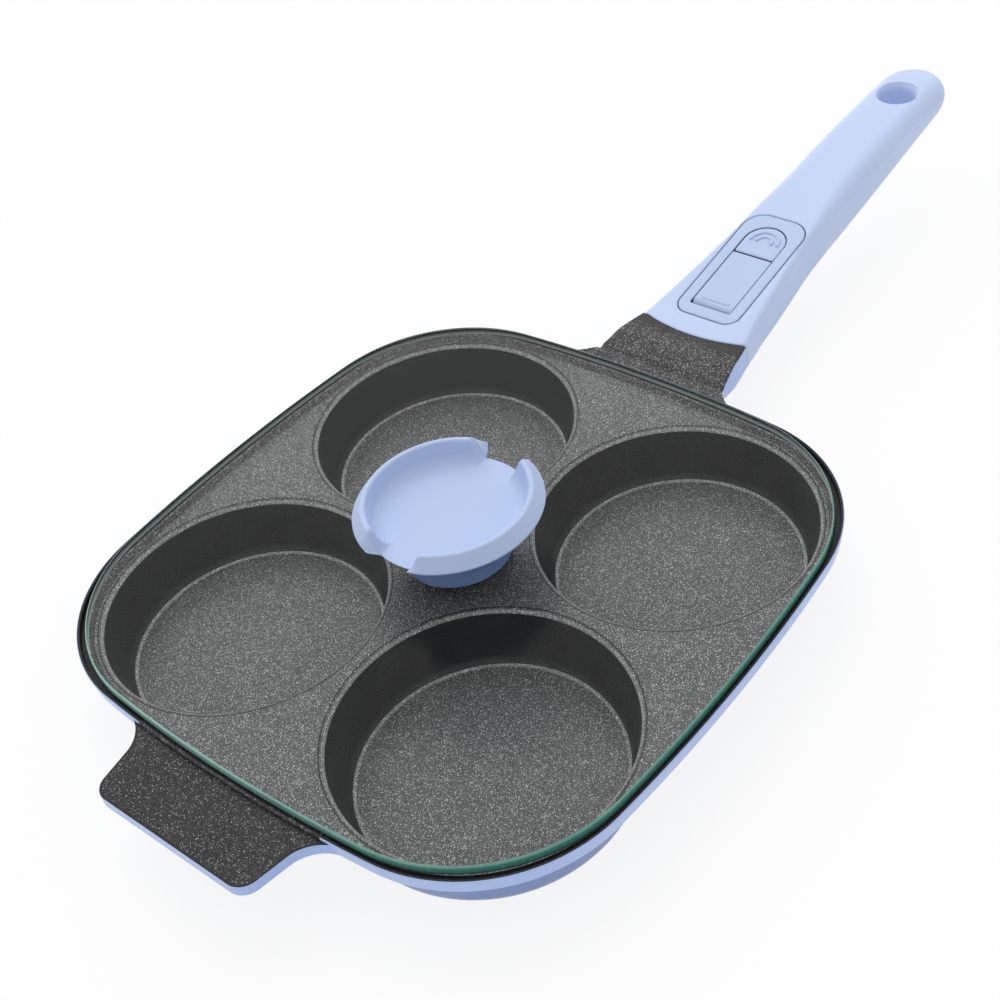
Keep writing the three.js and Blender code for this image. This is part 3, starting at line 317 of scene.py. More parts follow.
metals = {  # group inputs, then bump strength
    "drawnSteel": ((0.62, 0.62, 0.63, 1), (0.47, 0.47, 0.48, 1), 2500.0, 0.32, 0.1),
    "turnedBrass": ((0.68, 0.49, 0.20, 1), (0.52, 0.36, 0.13, 1), 2500.0, 0.3, 0.1),
}
fades = {  # axis and span, then the shares of fleck and the grounds at its two ends
    # painted shade line just under the mouth edge: no flecks and a dark ground at the low end
    "mouthShadeCoat": ("Z", (0.02365, 0.023695), (0.0, 0.45), ((0.020, 0.020, 0.021, 1), deckGround)),
    # painted reflection of the handle: the stem coat loses its flecks towards the joint
    "stemCoatAndReflection": ("X", (0.034, 0.042), (0.37, 0.05), (stemGround, (0.045, 0.043, 0.042, 1))),
}
clearGlass = {
    "tone": (0.985, 1.0, 0.993, 1),
    "index": 1.16,
    "film": 0.02,
    "lampTint": (0.97, 0.99, 0.98, 1),
}
glassGreen = {
    # painted shade: the low part of the edge, darkened where the lip shades it
    "shadedBottom": (0.012, 0.05, 0.04, 1),
    "body": (0.085, 0.29, 0.235, 1),
    # painted highlight along the rounded top of the edge
    "crest": (0.17, 0.32, 0.28, 1),
    "wave": (0.05, 0.19, 0.15, 1),
    "litSide": (0.31, 0.53, 0.465, 1),  # painted light on the sides towards +Y
    "litSideFrom": (-0.085, 0.0),
    "far": (0.38, 0.45, 0.425, 1),  # low part of the far edge, seen through the lid
    "through": (0.80, 0.89, 0.85, 1),
}


def newFinish(name, group, values, bumpStrength, bumpDepth, sockets):
    mat, tree, shader = newMaterial(name)
    effect = tree.nodes.new("ShaderNodeGroup")
    effect.node_tree = group
    feed(effect, dict(values))
    height = {"Strength": bumpStrength, "Distance": bumpDepth, "Height": effect.outputs["Height"]}
    bump = addNode(tree, "ShaderNodeBump", height)
    feed(shader, {
        "Base Color": effect.outputs["Color"],
        "Roughness": effect.outputs["Roughness"],
        "Normal": bump.outputs["Normal"],
        **sockets,
    })
    finishes[name] = mat


def fadeFlecks(mat, axis, span, shares, grounds):  # flecks and ground change along one axis of the piece
    tree = mat.node_tree
    effect = next(node for node in tree.nodes if node.type == "GROUP")
    step = remap(tree, axisParts(tree, objectCoords(tree))[axis], *span, 0.0, 1.0)
    share = remap(tree, step, 0.0, 1.0, *shares)
    feed(effect, {"Fleck Share": share, "Ground": mixColour(tree, step, *grounds)})


def makeLidGlass():
    mat, tree, shader = newMaterial("lidGlass")
    film = noiseNode(tree, objectCoords(tree), 40.0, 2.0)
    feed(shader, {
        "Roughness": remap(tree, film, *cloudSpan, 0.0, clearGlass["film"]),
        "Base Color": clearGlass["tone"],
        "Transmission Weight": 1,
        "IOR": clearGlass["index"],
    })
    lampRay = tree.nodes.new("ShaderNodeLightPath").outputs["Is Shadow Ray"]  # lamp rays pass the glass
    blendShaders(tree, lampRay, shader.outputs[0], clearShader(tree, clearGlass["lampTint"]))
    finishes["lidGlass"] = mat


def makeGlassEdge(low, high):  # ground edge: green from outside, with painted shade low down and a painted highlight along its crest, clear when looked at through the lid
    mat, tree, shader = newMaterial("glassEdge")
    green = glassGreen
    coords = objectCoords(tree)
    parts = axisParts(tree, coords)
    rise = remap(tree, parts["Z"], low, high, 0.0, 1.0)
    ramp = addNode(tree, "ShaderNodeValToRGB", {0: rise})
    stops = ramp.color_ramp.elements
    # the green darkens downwards with painted shade and lightens at the crest with a painted highlight
    stops[0].position, stops[0].color = 0.16, green["shadedBottom"]
    stops[1].position, stops[1].color = 1.0, green["crest"]
    for place in (0.34, 0.84):
        stops.new(place).color = green["body"]
    # painted light: the upper edge turns paler towards +Y
    aside = remap(tree, parts["Y"], *green["litSideFrom"], 0.0, 0.9)
    litSide = mathNode(tree, "MULTIPLY", aside, remap(tree, rise, 0.2, 0.4, 0.0, 1.0))
    tone = mixColour(tree, litSide, ramp.outputs[0], green["litSide"])
    waves = noiseNode(tree, coords, 30.0, 2.0)
    tone = mixColour(tree, remap(tree, waves, 0.35, 0.7, 0.0, 0.3), tone, green["wave"])
    facing = tree.nodes.new("ShaderNodeNewGeometry").outputs["Backfacing"]
    tone = mixColour(tree, facing, tone, green["far"])
    grind = noiseNode(tree, coords, 600.0, 2.0)
    feed(shader, {"Base Color": tone, "Roughness": remap(tree, grind, *cloudSpan, 0.15, 0.3)})
    share = mathNode(tree, "MULTIPLY", facing, remap(tree, rise, 0.25, 0.6, 0.4, 1.0))
    blendShaders(tree, share, shader.outputs[0], clearShader(tree, green["through"]))
    finishes["glassEdge"] = mat


def makeFinishes():
    fleck, skin, metal = makeFleckGroup(), makeSkinGroup(), makeMetalGroup()
    for group, labels, table in ((fleck, coatInputs, coats), (skin, skinInputs, skins)):
        for name, (*values, bump, shine) in table.items():
            newFinish(name, group, zip(labels, values), bump, fineDepth, {"Specular IOR Level": shine})
    for name, (*values, bump) in enamels.items():
        lacquer = {"Coat Weight": 0.2, "Coat Roughness": 0.2}
        newFinish(name, skin, zip(skinInputs, values), bump, enamelDepth, lacquer)
    for name, (*values, bump) in metals.items():
        newFinish(name, metal, zip(metalInputs, values), bump, fineDepth, {"Metallic": 1.0})
    for name, fade in fades.items():
        fadeFlecks(finishes[name], *fade)
    makeLidGlass()
    makeGlassEdge(glassLow.z, glassHigh.z)


setCamera()
setStudio()
setFloor()
makeFinishes()
print("camera, studio and", len(finishes), "finishes ready")

# mesh helpers, all in pan millimetres
mergeGap = 0.003
hair = 1e-4


def addChain(bm, points):
    verts = [bm.verts.new(point) for point in points]
    for pair in zip(verts, verts[1:]):
        bm.edges.new(pair)
    return verts


def edgesOf(elements):  # the edges that meet some points or faces, each once, in a fixed order
    groups = (e.link_edges if isinstance(e, bmesh.types.BMVert) else e.edges for e in elements)
    return list(dict.fromkeys(edge for group in groups for edge in group))


def roundVerts(bm, verts, setback, steps):
    bmesh.ops.bevel(
        bm, geom=verts, offset=setback, offset_type="OFFSET", segments=steps, profile=0.5,
        affect="VERTICES", clamp_overlap=False, material=-1,
    )


def roundEdges(bm, edges, size, steps):
    bmesh.ops.bevel(
        bm, geom=edges, offset=size, offset_type="OFFSET", segments=steps, profile=0.5,
        affect="EDGES", clamp_overlap=True, material=-1,
    )


def spinGeom(bm, geom, centre, angle, steps, axis=(0, 0, 1), rise=0.0, merge=False):
    done = bmesh.ops.spin(
        bm, geom=geom, cent=centre, axis=axis, dvec=(0, 0, rise), angle=angle, steps=steps,
        use_merge=merge, use_normal_flip=False, use_duplicate=False,
    )
    return done["geom_last"]


def roundedChain(bm, points, rounding):  # open line, some of its corners rounded by (setback, steps)
    known = set(bm.verts)
    verts = addChain(bm, points)
    for index, (setback, steps) in rounding.items():
        roundVerts(bm, [verts[index]], setback, steps)
    return [v for v in bm.verts if v not in known]


def turnedProfile(bm, points, rounding, centre, steps):  # (radius, height) points spun about an upright axis
    x, y = centre
    chain = roundedChain(bm, [(x + radius, y, height) for radius, height in points], rounding)
    spinGeom(bm, chain + edgesOf(chain), (x, y, 0), 2 * math.pi, steps, merge=True)


def mergeClose(bm, gap=mergeGap):
    bmesh.ops.remove_doubles(bm, verts=bm.verts, dist=gap)


def fillFlat(bm, height):  # closes every open loop lying at one height, leaving its islands open
    level = [e for e in bm.edges if all(abs(v.co.z - height) < 1e-3 for v in e.verts)]
    edges = [e for e in level if len(e.link_faces) == 1]
    bmesh.ops.triangle_fill(bm, use_beauty=True, use_dissolve=False, edges=edges, normal=(0, 0, 1))


def atHeight(height):
    return Matrix.Translation((0, 0, height))


def roundedLoop(bm, low, high, radii, steps, place):  # rectangle in a plane with a radius at each corner
    known = set(bm.faces)
    corners = ((low[0], low[1]), (high[0], low[1]), (high[0], high[1]), (low[0], high[1]))
    verts = [bm.verts.new((a, b, 0)) for a, b in corners]
    bm.faces.new(verts)
    for vert, radius in zip(verts, radii):
        roundVerts(bm, [vert], radius, steps)
    face = next(f for f in bm.faces if f not in known)
    bmesh.ops.transform(bm, matrix=place, verts=face.verts)
    return face


def evenLoop(bm, low, high, radius, steps, height):  # flat, with the same radius at each corner
    return roundedLoop(bm, low, high, (radius,) * 4, steps, atHeight(height))


def stackLoops(bm, faces):  # joins loops of equal count into a closed body, keeping the end faces
    rings = [list(face.edges) for face in faces]
    for face in faces[1:-1]:
        bm.faces.remove(face)
    for near, far in zip(rings, rings[1:]):
        bmesh.ops.bridge_loops(bm, edges=near + far)


def quarterRound(size, degrees):  # (aside, down) steps round a softened edge
    turns = [math.radians(degrees * index) for index in range(1, 5)]
    return [(size * (1 - math.cos(turn)), -size * (1 - math.sin(turn))) for turn in turns]


def drawOut(bm, face, vec):  # draws a face out into a solid
    grown = bmesh.ops.extrude_face_region(bm, geom=[face])["geom"]
    bmesh.ops.translate(bm, vec=vec, verts=[g for g in grown if isinstance(g, bmesh.types.BMVert)])
    bmesh.ops.recalc_face_normals(bm, faces=bm.faces)


def closeMesh(bm, gap=mergeGap):
    mergeClose(bm, gap)
    bmesh.ops.dissolve_degenerate(bm, dist=1e-5, edges=bm.edges)
    bmesh.ops.recalc_face_normals(bm, faces=bm.faces)


def sliceFaces(bm, faces, y):  # a cut line across some faces at one y
    verts = list(dict.fromkeys(v for f in faces for v in f.verts))
    geom = faces + edgesOf(faces) + verts
    bmesh.ops.bisect_plane(bm, geom=geom, dist=hair, plane_co=(0, y, 0), plane_no=(0, 1, 0))


def toObject(name, bm, place, materials):
    bmesh.ops.transform(bm, matrix=place, verts=bm.verts)
    mesh = bpy.data.meshes.new(name)
    bm.to_mesh(mesh)
    bm.free()
    for label in materials:
        mesh.materials.append(finishes[label])
    obj = bpy.data.objects.new(name, mesh)
    scene.collection.objects.link(obj)
    return obj


def paint(bm, rule):  # which of its piece's finishes each face wears
    for face in bm.faces:
        face.material_index = rule(face)


def carve(obj, cutters):  # cuts shaped bodies out of a piece, then forgets the cutters
    for cutter in cutters:
        cut = obj.modifiers.new("carve", "BOOLEAN")
        cut.operation = "DIFFERENCE"
        cut.solver = "EXACT"
        cut.object = cutter
        graph = bpy.context.evaluated_depsgraph_get()
        graph.update()
        made = bpy.data.meshes.new_from_object(obj.evaluated_get(graph))
        obj.modifiers.clear()
        old, obj.data = obj.data, made
        bpy.data.meshes.remove(old)
        bpy.data.objects.remove(cutter)


def dress(obj, body, slot, sharp, *nodes):  # smooth shading with true edges, then its place in the frame
    bm = bmesh.new()
    bm.from_mesh(obj.data)
    for face in bm.faces:
        face.smooth = True
    for edge in bm.edges:
        if len(edge.link_faces) == 2:
            edge.smooth = edge.calc_face_angle(0) < math.radians(sharp)
    bm.to_mesh(obj.data)
    bm.free()
    weigh = obj.modifiers.new("weighFaces", "WEIGHTED_NORMAL")
    weigh.keep_sharp = True
    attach(obj, body)
    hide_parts(*nodes)
    print("piece", obj.name, len(obj.data.polygons), "faces")


def makePiece(name, bm, place, materials, *role):
    dress(toObject(name, bm, place, materials), *role)


def ease(value, start, run):
    share = min(1.0, max(0.0, (value - start) / run))
    return share * share * (3 - 2 * share)


def bowAt(y, radius):  # how far an arc falls back at a distance from the middle
    return radius - math.sqrt(radius * radius - min(abs(y), radius * 0.95) ** 2)


# rim path shared by the pan and its lid
rimPath = {
    "width": 228.4, "sideRadius": 650.0, "cornerRadius": 58.0,
    "sideSteps": 14, "cornerSteps": 30,
}
rimHalf = rimPath["width"] / 2
sideBack = rimPath["sideRadius"] - rimHalf
rimSink = 0.9  # how far the tab and the stem reach into the rim wall


def sweepRim(bm, points, rounding, cornerRadius):  # (inset, height) points carried round the rim
    arcReach = rimPath["sideRadius"] - cornerRadius
    cornerAt = (math.sqrt(2 * arcReach**2 - sideBack**2) - sideBack) / 2
    sideTurn = math.atan2(cornerAt, cornerAt + sideBack)
    chain = roundedChain(bm, [(rimHalf - inset, 0, height) for inset, height in points], rounding)
    bmesh.ops.rotate(bm, cent=(-sideBack, 0, 0), matrix=Matrix.Rotation(-sideTurn, 3, "Z"), verts=chain)
    geom = chain + edgesOf(chain)
    for quarter in range(4):
        turn = Matrix.Rotation(quarter * math.pi / 2, 3, "Z")
        side = (turn @ Vector((-sideBack, 0, 0)), 2 * sideTurn, rimPath["sideSteps"])
        corner = (turn @ Vector((cornerAt, cornerAt, 0)), math.pi / 2 - 2 * sideTurn, rimPath["cornerSteps"])
        for centre, angle, steps in (side, corner):
            geom = spinGeom(bm, geom, centre, angle, steps)


# helper tab, and the pan tray it belongs to
tab = {
    "reach": 24.4, "endWidth": 67.0, "rootWidth": 76.0,
    "shoulder": 9,  # how far it runs along the rim past its root
    "top": 26.7, "thickness": 4.2,
    "cornerRound": 5.4, "rootRound": 9.0, "roundSteps": 12,
    "border": 0.8, "edgeRound": 0.9,
    "coatMargin": 3,  # coating on the rim beside the root, and how deep it may lie
    "rimDepth": 8,
}
tray = {
    "cupOffset": 53.7, "mouthRadius": 50.0,
    "mouthBand": 0.35,  # flat rings beside the turned forms
    "floorRadius": 46.2, "floorBand": 4.5, "floorHeight": 2.2,
    "deckHeight": 23.7, "underHeight": 20.7, "seatHeight": 26.1, "lipHeight": 28.2,
    "mouthRound": 2.0, "floorRound": 2.9, "baseRound": 7.5,
    "outerTop": 51.7, "outerBand": 1.2, "outerFoot": 48.1, "baseBand": 8,
    "deckInset": 5.4, "seatInset": 4.1, "lipInset": 1.3, "lipRound": 0.35, "brimRound": 0.5,
    "footLean": 0.9, "footInset": 3.2, "footBand": 1, "footRise": 1.4,
    "dimpleRadius": 12.0, "dimpleBand": 1.4, "dimpleLean": 0.6, "dimpleDepth": 4.0,
    "bossRings": (3.4, 2.2, 2),  # past the dimple: ring, top and foot
    "paintDrop": 0.15,
    "cupSteps": 144, "dimpleSteps": 64,
}
trayFinishes = ("deckCoat", "mouthShadeCoat", "wallShadeCoat", "edgeHighlightCoat", "lipCoat", "tabCoat", "panEnamel", "cupShadeEnamel")
trayZones = {  # margins in mm; shares of a face's normal
    "near": 0.02, "cupMargin": 3, "mouthDepth": 3, "seatMargin": 0.05, "flatMargin": 0.002,
    "facesOut": 0.35, "facesUp": 0.3, "leastRise": 0.01, "flat": 0.99,
}
trayCoats = {  # least rise of a face's normal for each coating, in order
    # mouth rounding: a painted shade line at its top, a painted highlight band lower down
    "mouth": (("mouthShadeCoat", 0.95), ("deckCoat", 0.8), ("edgeHighlightCoat", 0.35)),
    # floor rounding: a painted highlight band
    "floor": (("deckCoat", 0.98), ("edgeHighlightCoat", 0.85)),
    "deck": (("deckCoat", 0.3),),
}
cupPlaces = [(x * tray["cupOffset"], y * tray["cupOffset"]) for x in (-1, 1) for y in (-1, 1)]
paintLine = tab["top"] - tray["paintDrop"]  # the tab's coating ends here on the rim wall
tabSide = tab["rimDepth"] - rimHalf
tabHalf = tab["rootWidth"] / 2 + tab["coatMargin"]


def nearestCup(point):
    return min((Vector((point.x - x, point.y - y)).length for x, y in cupPlaces))


def coatAt(zone, rise):
    # faces below the roundings take the wall coat with its painted shade
    return next((label for label, least in trayCoats[zone] if rise > least), "wallShadeCoat")


def trayLabel(face):  # which finish a face of the tray wears
    t, z = tray, trayZones
    middle, rise = face.calc_center_median(), face.normal.z
    deck, floor, near = t["deckHeight"], t["floorHeight"], z["near"]
    outward = face.normal.xy.dot(middle.xy) / max(middle.xy.length, 1)
    byTab = middle.x < tabSide and abs(middle.y) < tabHalf
    inCup = nearestCup(middle) < t["mouthRadius"] + z["cupMargin"] and middle.z > floor - near
    if middle.z > deck + near:
        if outward > z["facesOut"]:
            return "tabCoat" if byTab and middle.z > paintLine else "panEnamel"
        if middle.z > t["seatHeight"] - z["seatMargin"]:
            return "tabCoat" if byTab and rise > z["facesUp"] else "lipCoat"
        return "deckCoat"
    if inCup and rise > z["leastRise"]:
        if middle.z > deck - z["flatMargin"] or (middle.z < floor + near and rise > z["flat"]):
            return "deckCoat"
        return coatAt("mouth" if middle.z > deck - z["mouthDepth"] else "floor", rise)
    if rise > near:  # deck and the dip under the knob's screw
        return coatAt("deck", rise)
    # cup bottoms under the deck take the darker enamel with painted shade
    return "cupShadeEnamel" if middle.z < t["underHeight"] - near else "panEnamel"


def buildTray():
    t = tray
    bm = bmesh.new()
    deck, under, floor, dip = t["deckHeight"], t["underHeight"], t["floorHeight"], t["dimpleRadius"]
    inside = (
        (t["mouthRadius"] + t["mouthRound"] + t["mouthBand"], deck), (t["mouthRadius"], deck),
        (t["floorRadius"], floor), (t["floorRadius"] - t["floorBand"], floor), (0, floor),
    )
    outside = (
        (t["outerTop"] + t["outerBand"], under), (t["outerTop"], under), (t["outerFoot"], 0),
        (t["outerFoot"] - t["baseBand"], 0), (0, 0),
    )
    for place in cupPlaces:
        turnedProfile(bm, inside, {1: (t["mouthRound"], 5), 2: (t["floorRound"], 8)}, place, t["cupSteps"])
        turnedProfile(bm, outside, {1: (0.8, 3), 2: (t["baseRound"], 10)}, place, t["cupSteps"])
    dimpleLow = deck - t["dimpleDepth"]
    dimple = ((dip + t["dimpleBand"], deck), (dip, deck), (dip - t["dimpleLean"], dimpleLow), (0, dimpleLow))
    turnedProfile(bm, dimple, {1: (0.7, 4), 2: (0.8, 4)}, (0, 0), t["dimpleSteps"])
    bossLow = under - t["dimpleDepth"]
    ring, top, foot = t["bossRings"]
    boss = ((dip + ring, under), (dip + top, under), (dip + foot, bossLow), (0, bossLow))
    turnedProfile(bm, boss, {1: (0.6, 3), 2: (0.8, 4)}, (0, 0), t["dimpleSteps"])
    footTop = under + t["footRise"]
    paintInset = t["footLean"] * (t["lipHeight"] - paintLine) / (t["lipHeight"] - footTop)
    rim = (
        (t["deckInset"], deck), (t["seatInset"], t["seatHeight"]), (t["lipInset"], t["seatHeight"]),
        (t["lipInset"], t["lipHeight"]), (0, t["lipHeight"]), (paintInset, paintLine), (t["footLean"], footTop),
        (t["footInset"], under), (t["footInset"] + t["footBand"], under),
    )
    rimRounding = {
        1: (0.5, 4), 2: (0.2, 2), 3: (t["lipRound"], 4), 4: (t["brimRound"], 5), 6: (0.8, 3), 7: (0.5, 3),
    }
    sweepRim(bm, rim, rimRounding, rimPath["cornerRadius"])
    mergeClose(bm)
    fillFlat(bm, deck)
    fillFlat(bm, under)
    closeMesh(bm)
    brim = t["seatHeight"] + trayZones["seatMargin"]
    for y in (-tabHalf, tabHalf):
        middles = [(f, f.calc_center_median()) for f in bm.faces]
        sliceFaces(bm, [f for f, m in middles if m.x < tabSide and m.z > brim], y)
    paint(bm, lambda f: trayFinishes.index(trayLabel(f)))
    makePiece("panTray", bm, panPlace, trayFinishes, "pan", "coating", 40, "pan_casting")


def buildTab():
    t = tab
    bm = bmesh.new()
    halfRoot, halfEnd = t["rootWidth"] / 2, t["endWidth"] / 2
    shoulder = halfRoot + t["shoulder"]
    wall, end = -rimHalf + rimSink, -rimHalf - t["reach"]
    outline = [(wall + bowAt(shoulder, rimPath["sideRadius"]), shoulder), (wall, halfRoot), (end, halfEnd)]
    outline += [(x, -y) for x, y in reversed(outline)]
    verts = [bm.verts.new((x, y, t["top"])) for x, y in outline]
    bm.faces.new(verts)
    roundVerts(bm, [verts[1], verts[4]], t["rootRound"], t["roundSteps"])
    roundVerts(bm, [verts[2], verts[3]], t["cornerRound"], t["roundSteps"])
    drawOut(bm, bm.faces[:][0], (0, 0, -t["thickness"]))
    level = [e for e in bm.edges if abs(e.verts[0].co.z - e.verts[1].co.z) < hair]
    free = [e for e in level if max(abs(v.co.y) for v in e.verts) < shoulder - 0.1]
    roundEdges(bm, free, t["edgeRound"], 4)
    closeMesh(bm)
    topFace = max((f for f in bm.faces if f.normal.z > 0.99), key=lambda f: f.calc_area())
    bmesh.ops.inset_region(
        bm, faces=[topFace], thickness=t["border"], depth=0, use_boundary=True, use_even_offset=True,
    )
    paint(bm, lambda f: 0 if f is topFace else 2 if f.normal.z > 0.35 else 1)
    makePiece("helperTab", bm, panPlace, ("tabCoat", "panEnamel", "lipCoat"), "pan", "coating", 40, "pan_casting")


# handle stem
joint = {
    "x": 142.0, "bowRadius": 72.0, "gap": 0.6,
    "top": 28.8, "width": 49.0, "height": 15.0,
}
stem = {
    "flare": 6.6, "filletRun": 8.0, "filletOut": 7.0,
    "rootTop": 26.7, "rootLow": 22.0,
    "stepStart": 9.0, "stepRun": 8.0, "footRun": 18.0,
    "edgeRound": 1.3, "lowerRound": 6.0,
    "grooveAt": 7.4,  # from the rim
    "grooveWidth": 4.6, "grooveDepth": 1.3,
    "bowStart": 6, "rimRun": 7, "stations": 56,
}


def acrossAt(x):  # plane of y and z at x
    return Matrix(((0, 0, 1, x), (1, 0, 0, 0), (0, 1, 0, 0), (0, 0, 0, 1)))


def buildStem():
    s = stem
    bm = bmesh.new()
    start, end = rimHalf - rimSink, joint["x"] - joint["gap"]
    loops = []
    for index in range(s["stations"] + 1):
        x = start + (end - start) * index / s["stations"]
        away = x - rimHalf
        flare = (joint["x"] - x) / (joint["x"] - rimHalf)
        fillet = max(0.0, 1 - away / s["filletRun"])
        half = joint["width"] / 2 + s["flare"] * flare + s["filletOut"] * fillet * fillet
        top = s["rootTop"] + (joint["top"] - s["rootTop"]) * ease(away, s["stepStart"], s["stepRun"])
        groove = max(0.0, 1 - abs(away - s["grooveAt"]) / (s["grooveWidth"] / 2))
        top -= s["grooveDepth"] * groove * groove * (3 - 2 * groove)
        low = s["rootLow"] + (joint["top"] - joint["height"] - s["rootLow"]) * ease(away, 0, s["footRun"])
        lower = min(s["lowerRound"], 0.45 * (top - low))
        radii = (lower, lower, s["edgeRound"], s["edgeRound"])
        loops.append(roundedLoop(bm, (-half, low), (half, top), radii, 6, acrossAt(x)))
    stackLoops(bm, loops)
    for y in range(-40, 41, 4):
        sliceFaces(bm, bm.faces[:], y)
    for vert in bm.verts:
        x, y = vert.co.xy
        share = ease(x, rimHalf + s["bowStart"], end - rimHalf - s["bowStart"])
        nearRim = 1 - ease(x, start, s["rimRun"])
        atJoint = bowAt(y, joint["bowRadius"] + joint["gap"])
        vert.co.x += atJoint * share - bowAt(y, rimPath["sideRadius"]) * nearRim
    closeMesh(bm)
    # painted shade on the end facing the handle joint
    paint(bm, lambda f: 2 if f.normal.x > 0.9 else 0 if f.normal.z > 0.5 else 1)
    wears = ("stemCoatAndReflection", "panEnamel", "seamShadeBlue")
    makePiece("handleStem", bm, panPlace, wears, "pan", "coating", 40, "pan_casting")


# glass lid
lid = {
    "inset": 2.4, "band": 2,
    "cornerRadius": 62.0,
    "low": 26.4, "top": 30.4,
    "edgeRound": 0.9,
    "holeRadius": 3.5, "holeSteps": 48,
}


def buildGlass():
    g = lid
    bm = bmesh.new()
    inner = g["inset"] + g["band"]
    edge = ((inner, g["low"]), (g["inset"], g["low"]), (g["inset"], g["top"]), (inner, g["top"]))
    sweepRim(bm, edge, {1: (g["edgeRound"], 5), 2: (g["edgeRound"], 5)}, g["cornerRadius"])
    hole = ((g["holeRadius"], g["low"]), (g["holeRadius"], g["top"]))
    turnedProfile(bm, hole, {}, (0, 0), g["holeSteps"])
    mergeClose(bm)
    fillFlat(bm, g["low"])
    fillFlat(bm, g["top"])
    closeMesh(bm)
    paint(bm, lambda f: 0 if abs(f.normal.z) > 0.94 else 1)
    makePiece("glassPlate", bm, panPlace, ("lidGlass", "glassEdge"), "lid", "glass", 60, "glass_lid")


# knob
knob = {
    "floor": 47.9, "under": 46.1, "ridge": 56.0, "edge": 51.2,
    "floorRadius": 23.5, "floorTurn": 1.8, "ridgeRadius": 28.7, "ridgeWidth": 1.6,
    "edgeRadius": 33.2, "footRadius": 28.6, "footDrop": 0.5, "neckRadius": 23.0,
    "notchLow": 7.0,  # half widths of the notches
    "notchHigh": 11.5,
    "notchFrom": 12,  # radii where the notches and their sides begin
    "sideFrom": 20,
    "steps": 300, "mergeGap": 0.002,
    "neckTop": 45.95, "neckFoot": 30.55, "neckFootRadius": 19.3,
    "neckWaistRadius": 18.0, "neckWaist": 38.2, "neckSteps": 128,
}


def notchHeight(s):  # how high the dish wall stands beside a notch
    k = knob
    share = min(1.0, max(0.0, (abs(s) - k["notchLow"]) / (k["notchHigh"] - k["notchLow"])))
    soft = 0.5 * share + 0.5 * share * share * (3 - 2 * share)
    return (k["ridge"] - k["floor"]) * soft


def outlineRadius(height):  # outside of the dish at a height above its floor
    k = knob
    rise = k["edge"] - k["floor"]
    if height < rise:
        return k["footRadius"] + (k["edgeRadius"] - k["footRadius"]) * max(0.0, height) / rise
    fall = (height - rise) / (k["ridge"] - k["edge"])
    return k["edgeRadius"] - (k["edgeRadius"] - k["ridgeRadius"] - k["ridgeWidth"] / 2) * fall


def buildKnob():
    k = knob
    bm = bmesh.new()
    crest = k["ridgeWidth"] / 2
    profile = (
        (0, k["floor"]), (k["floorRadius"] * 0.6, k["floor"]), (k["floorRadius"] + k["floorTurn"], k["floor"]),
        (k["ridgeRadius"] - crest, k["ridge"]), (k["ridgeRadius"] + crest, k["ridge"]),
        (k["edgeRadius"], k["edge"]), (k["edgeRadius"] - 0.35, k["edge"] - 0.55),
        (k["edgeRadius"] - 0.8, k["edge"] - 0.6), (k["footRadius"], k["floor"] - k["footDrop"]),
        (k["neckRadius"], k["under"]), (0, k["under"]),
    )
    rounding = {2: (3.6, 10), 3: (0.75, 5), 4: (0.5, 4), 5: (0.45, 4), 8: (1.2, 4)}
    turnedProfile(bm, profile, rounding, (0, 0), k["steps"])
    for vert in bm.verts:
        radius = vert.co.xy.length
        height = vert.co.z - k["floor"]
        most = notchHeight(vert.co.y) if radius > k["notchFrom"] else math.inf
        if height > most:
            vert.co.z = k["floor"] + most
            keep = min(radius, outlineRadius(most))
            vert.co.xy = vert.co.xy * (keep / radius)
        elif radius > k["sideFrom"] and abs(vert.co.y) < k["notchHigh"]:
            keep = min(radius, outlineRadius(min(height, most)) if height > -0.3 else radius)
            vert.co.xy = vert.co.xy * (keep / radius)
    closeMesh(bm, k["mergeGap"])
    makePiece("knobDish", bm, panPlace, ("knobBlue",), "lid", "knob_blue", 50, "knob_dish")
    bm = bmesh.new()
    profile = (
        (0, k["neckFoot"]), (k["neckFootRadius"], k["neckFoot"]), (k["neckWaistRadius"], k["neckWaist"]),
        (k["neckRadius"], k["neckTop"]), (0, k["neckTop"]),
    )
    turnedProfile(bm, profile, {1: (0.5, 4), 2: (4.5, 12), 3: (0.3, 3)}, (0, 0), k["neckSteps"])
    closeMesh(bm)
    makePiece("knobNeck", bm, panPlace, ("neckBlue",), "lid", "knob_blue", 50, "knob_neck")


# handle grip
grip = {
    "length": 196.5, "tilt": 9.1,
    "waistWidth": 32.5, "endWidth": 30.0, "bellyHeight": 25.0, "endHeight": 17.5,
    "flareLength": 68.0, "flarePower": 1.25, "bellyLength": 98.0,
    "frontEdge": 2.4, "frontLower": 6.0,
    "upperEdge": 7.5,
    "upperSpan": (60, 49),  # start and run of the edges' change
    "lowerEdge": 10.5,
    "lowerSpan": (30, 60),
    "bowRun": 26,
    "endRun": 14.0, "endTurn": 88, "endDrop": 2.0, "endSquare": 0.6,
    "frontSoft": 0.9,
    "frontSteps": ((0, 1), (0.12, 0.45), (0.45, 0.12)),  # distance and share of the softening
    "stations": 84, "endStations": 16,
    "holeRadius": 8.0, "holeSetback": 26.0, "holeSoft": 1.8, "holeSteps": 72,
}
pocket = {
    "half": 12.55,
    "front": 2.3,  # from the panel's start
    "back": 56.9,
    "bossStart": 38.6,  # from the joint
    "tongueLow": 17.8, "tongueTop": 20.9, "tongueHalf": 10.85,
    "bossGap": 0.45, "high": 60, "cornerRound": 0.6,
}
panel = {
    "start": 10.2,  # along the tilted top, from the joint
    "length": 63.0, "width": 28.6, "thickness": 2.4,
    "frontRound": 6.0, "backRound": 9.0, "edgeSoft": 0.55,
    "seam": 0.35, "mouthSoft": 0.7, "rest": 0.3,
    "windowLevels": ((0, -0.4), (0.06, -0.2), (0.2, -0.06), (0.42, 0.02), (0.6, 1)),  # wider by, height
}
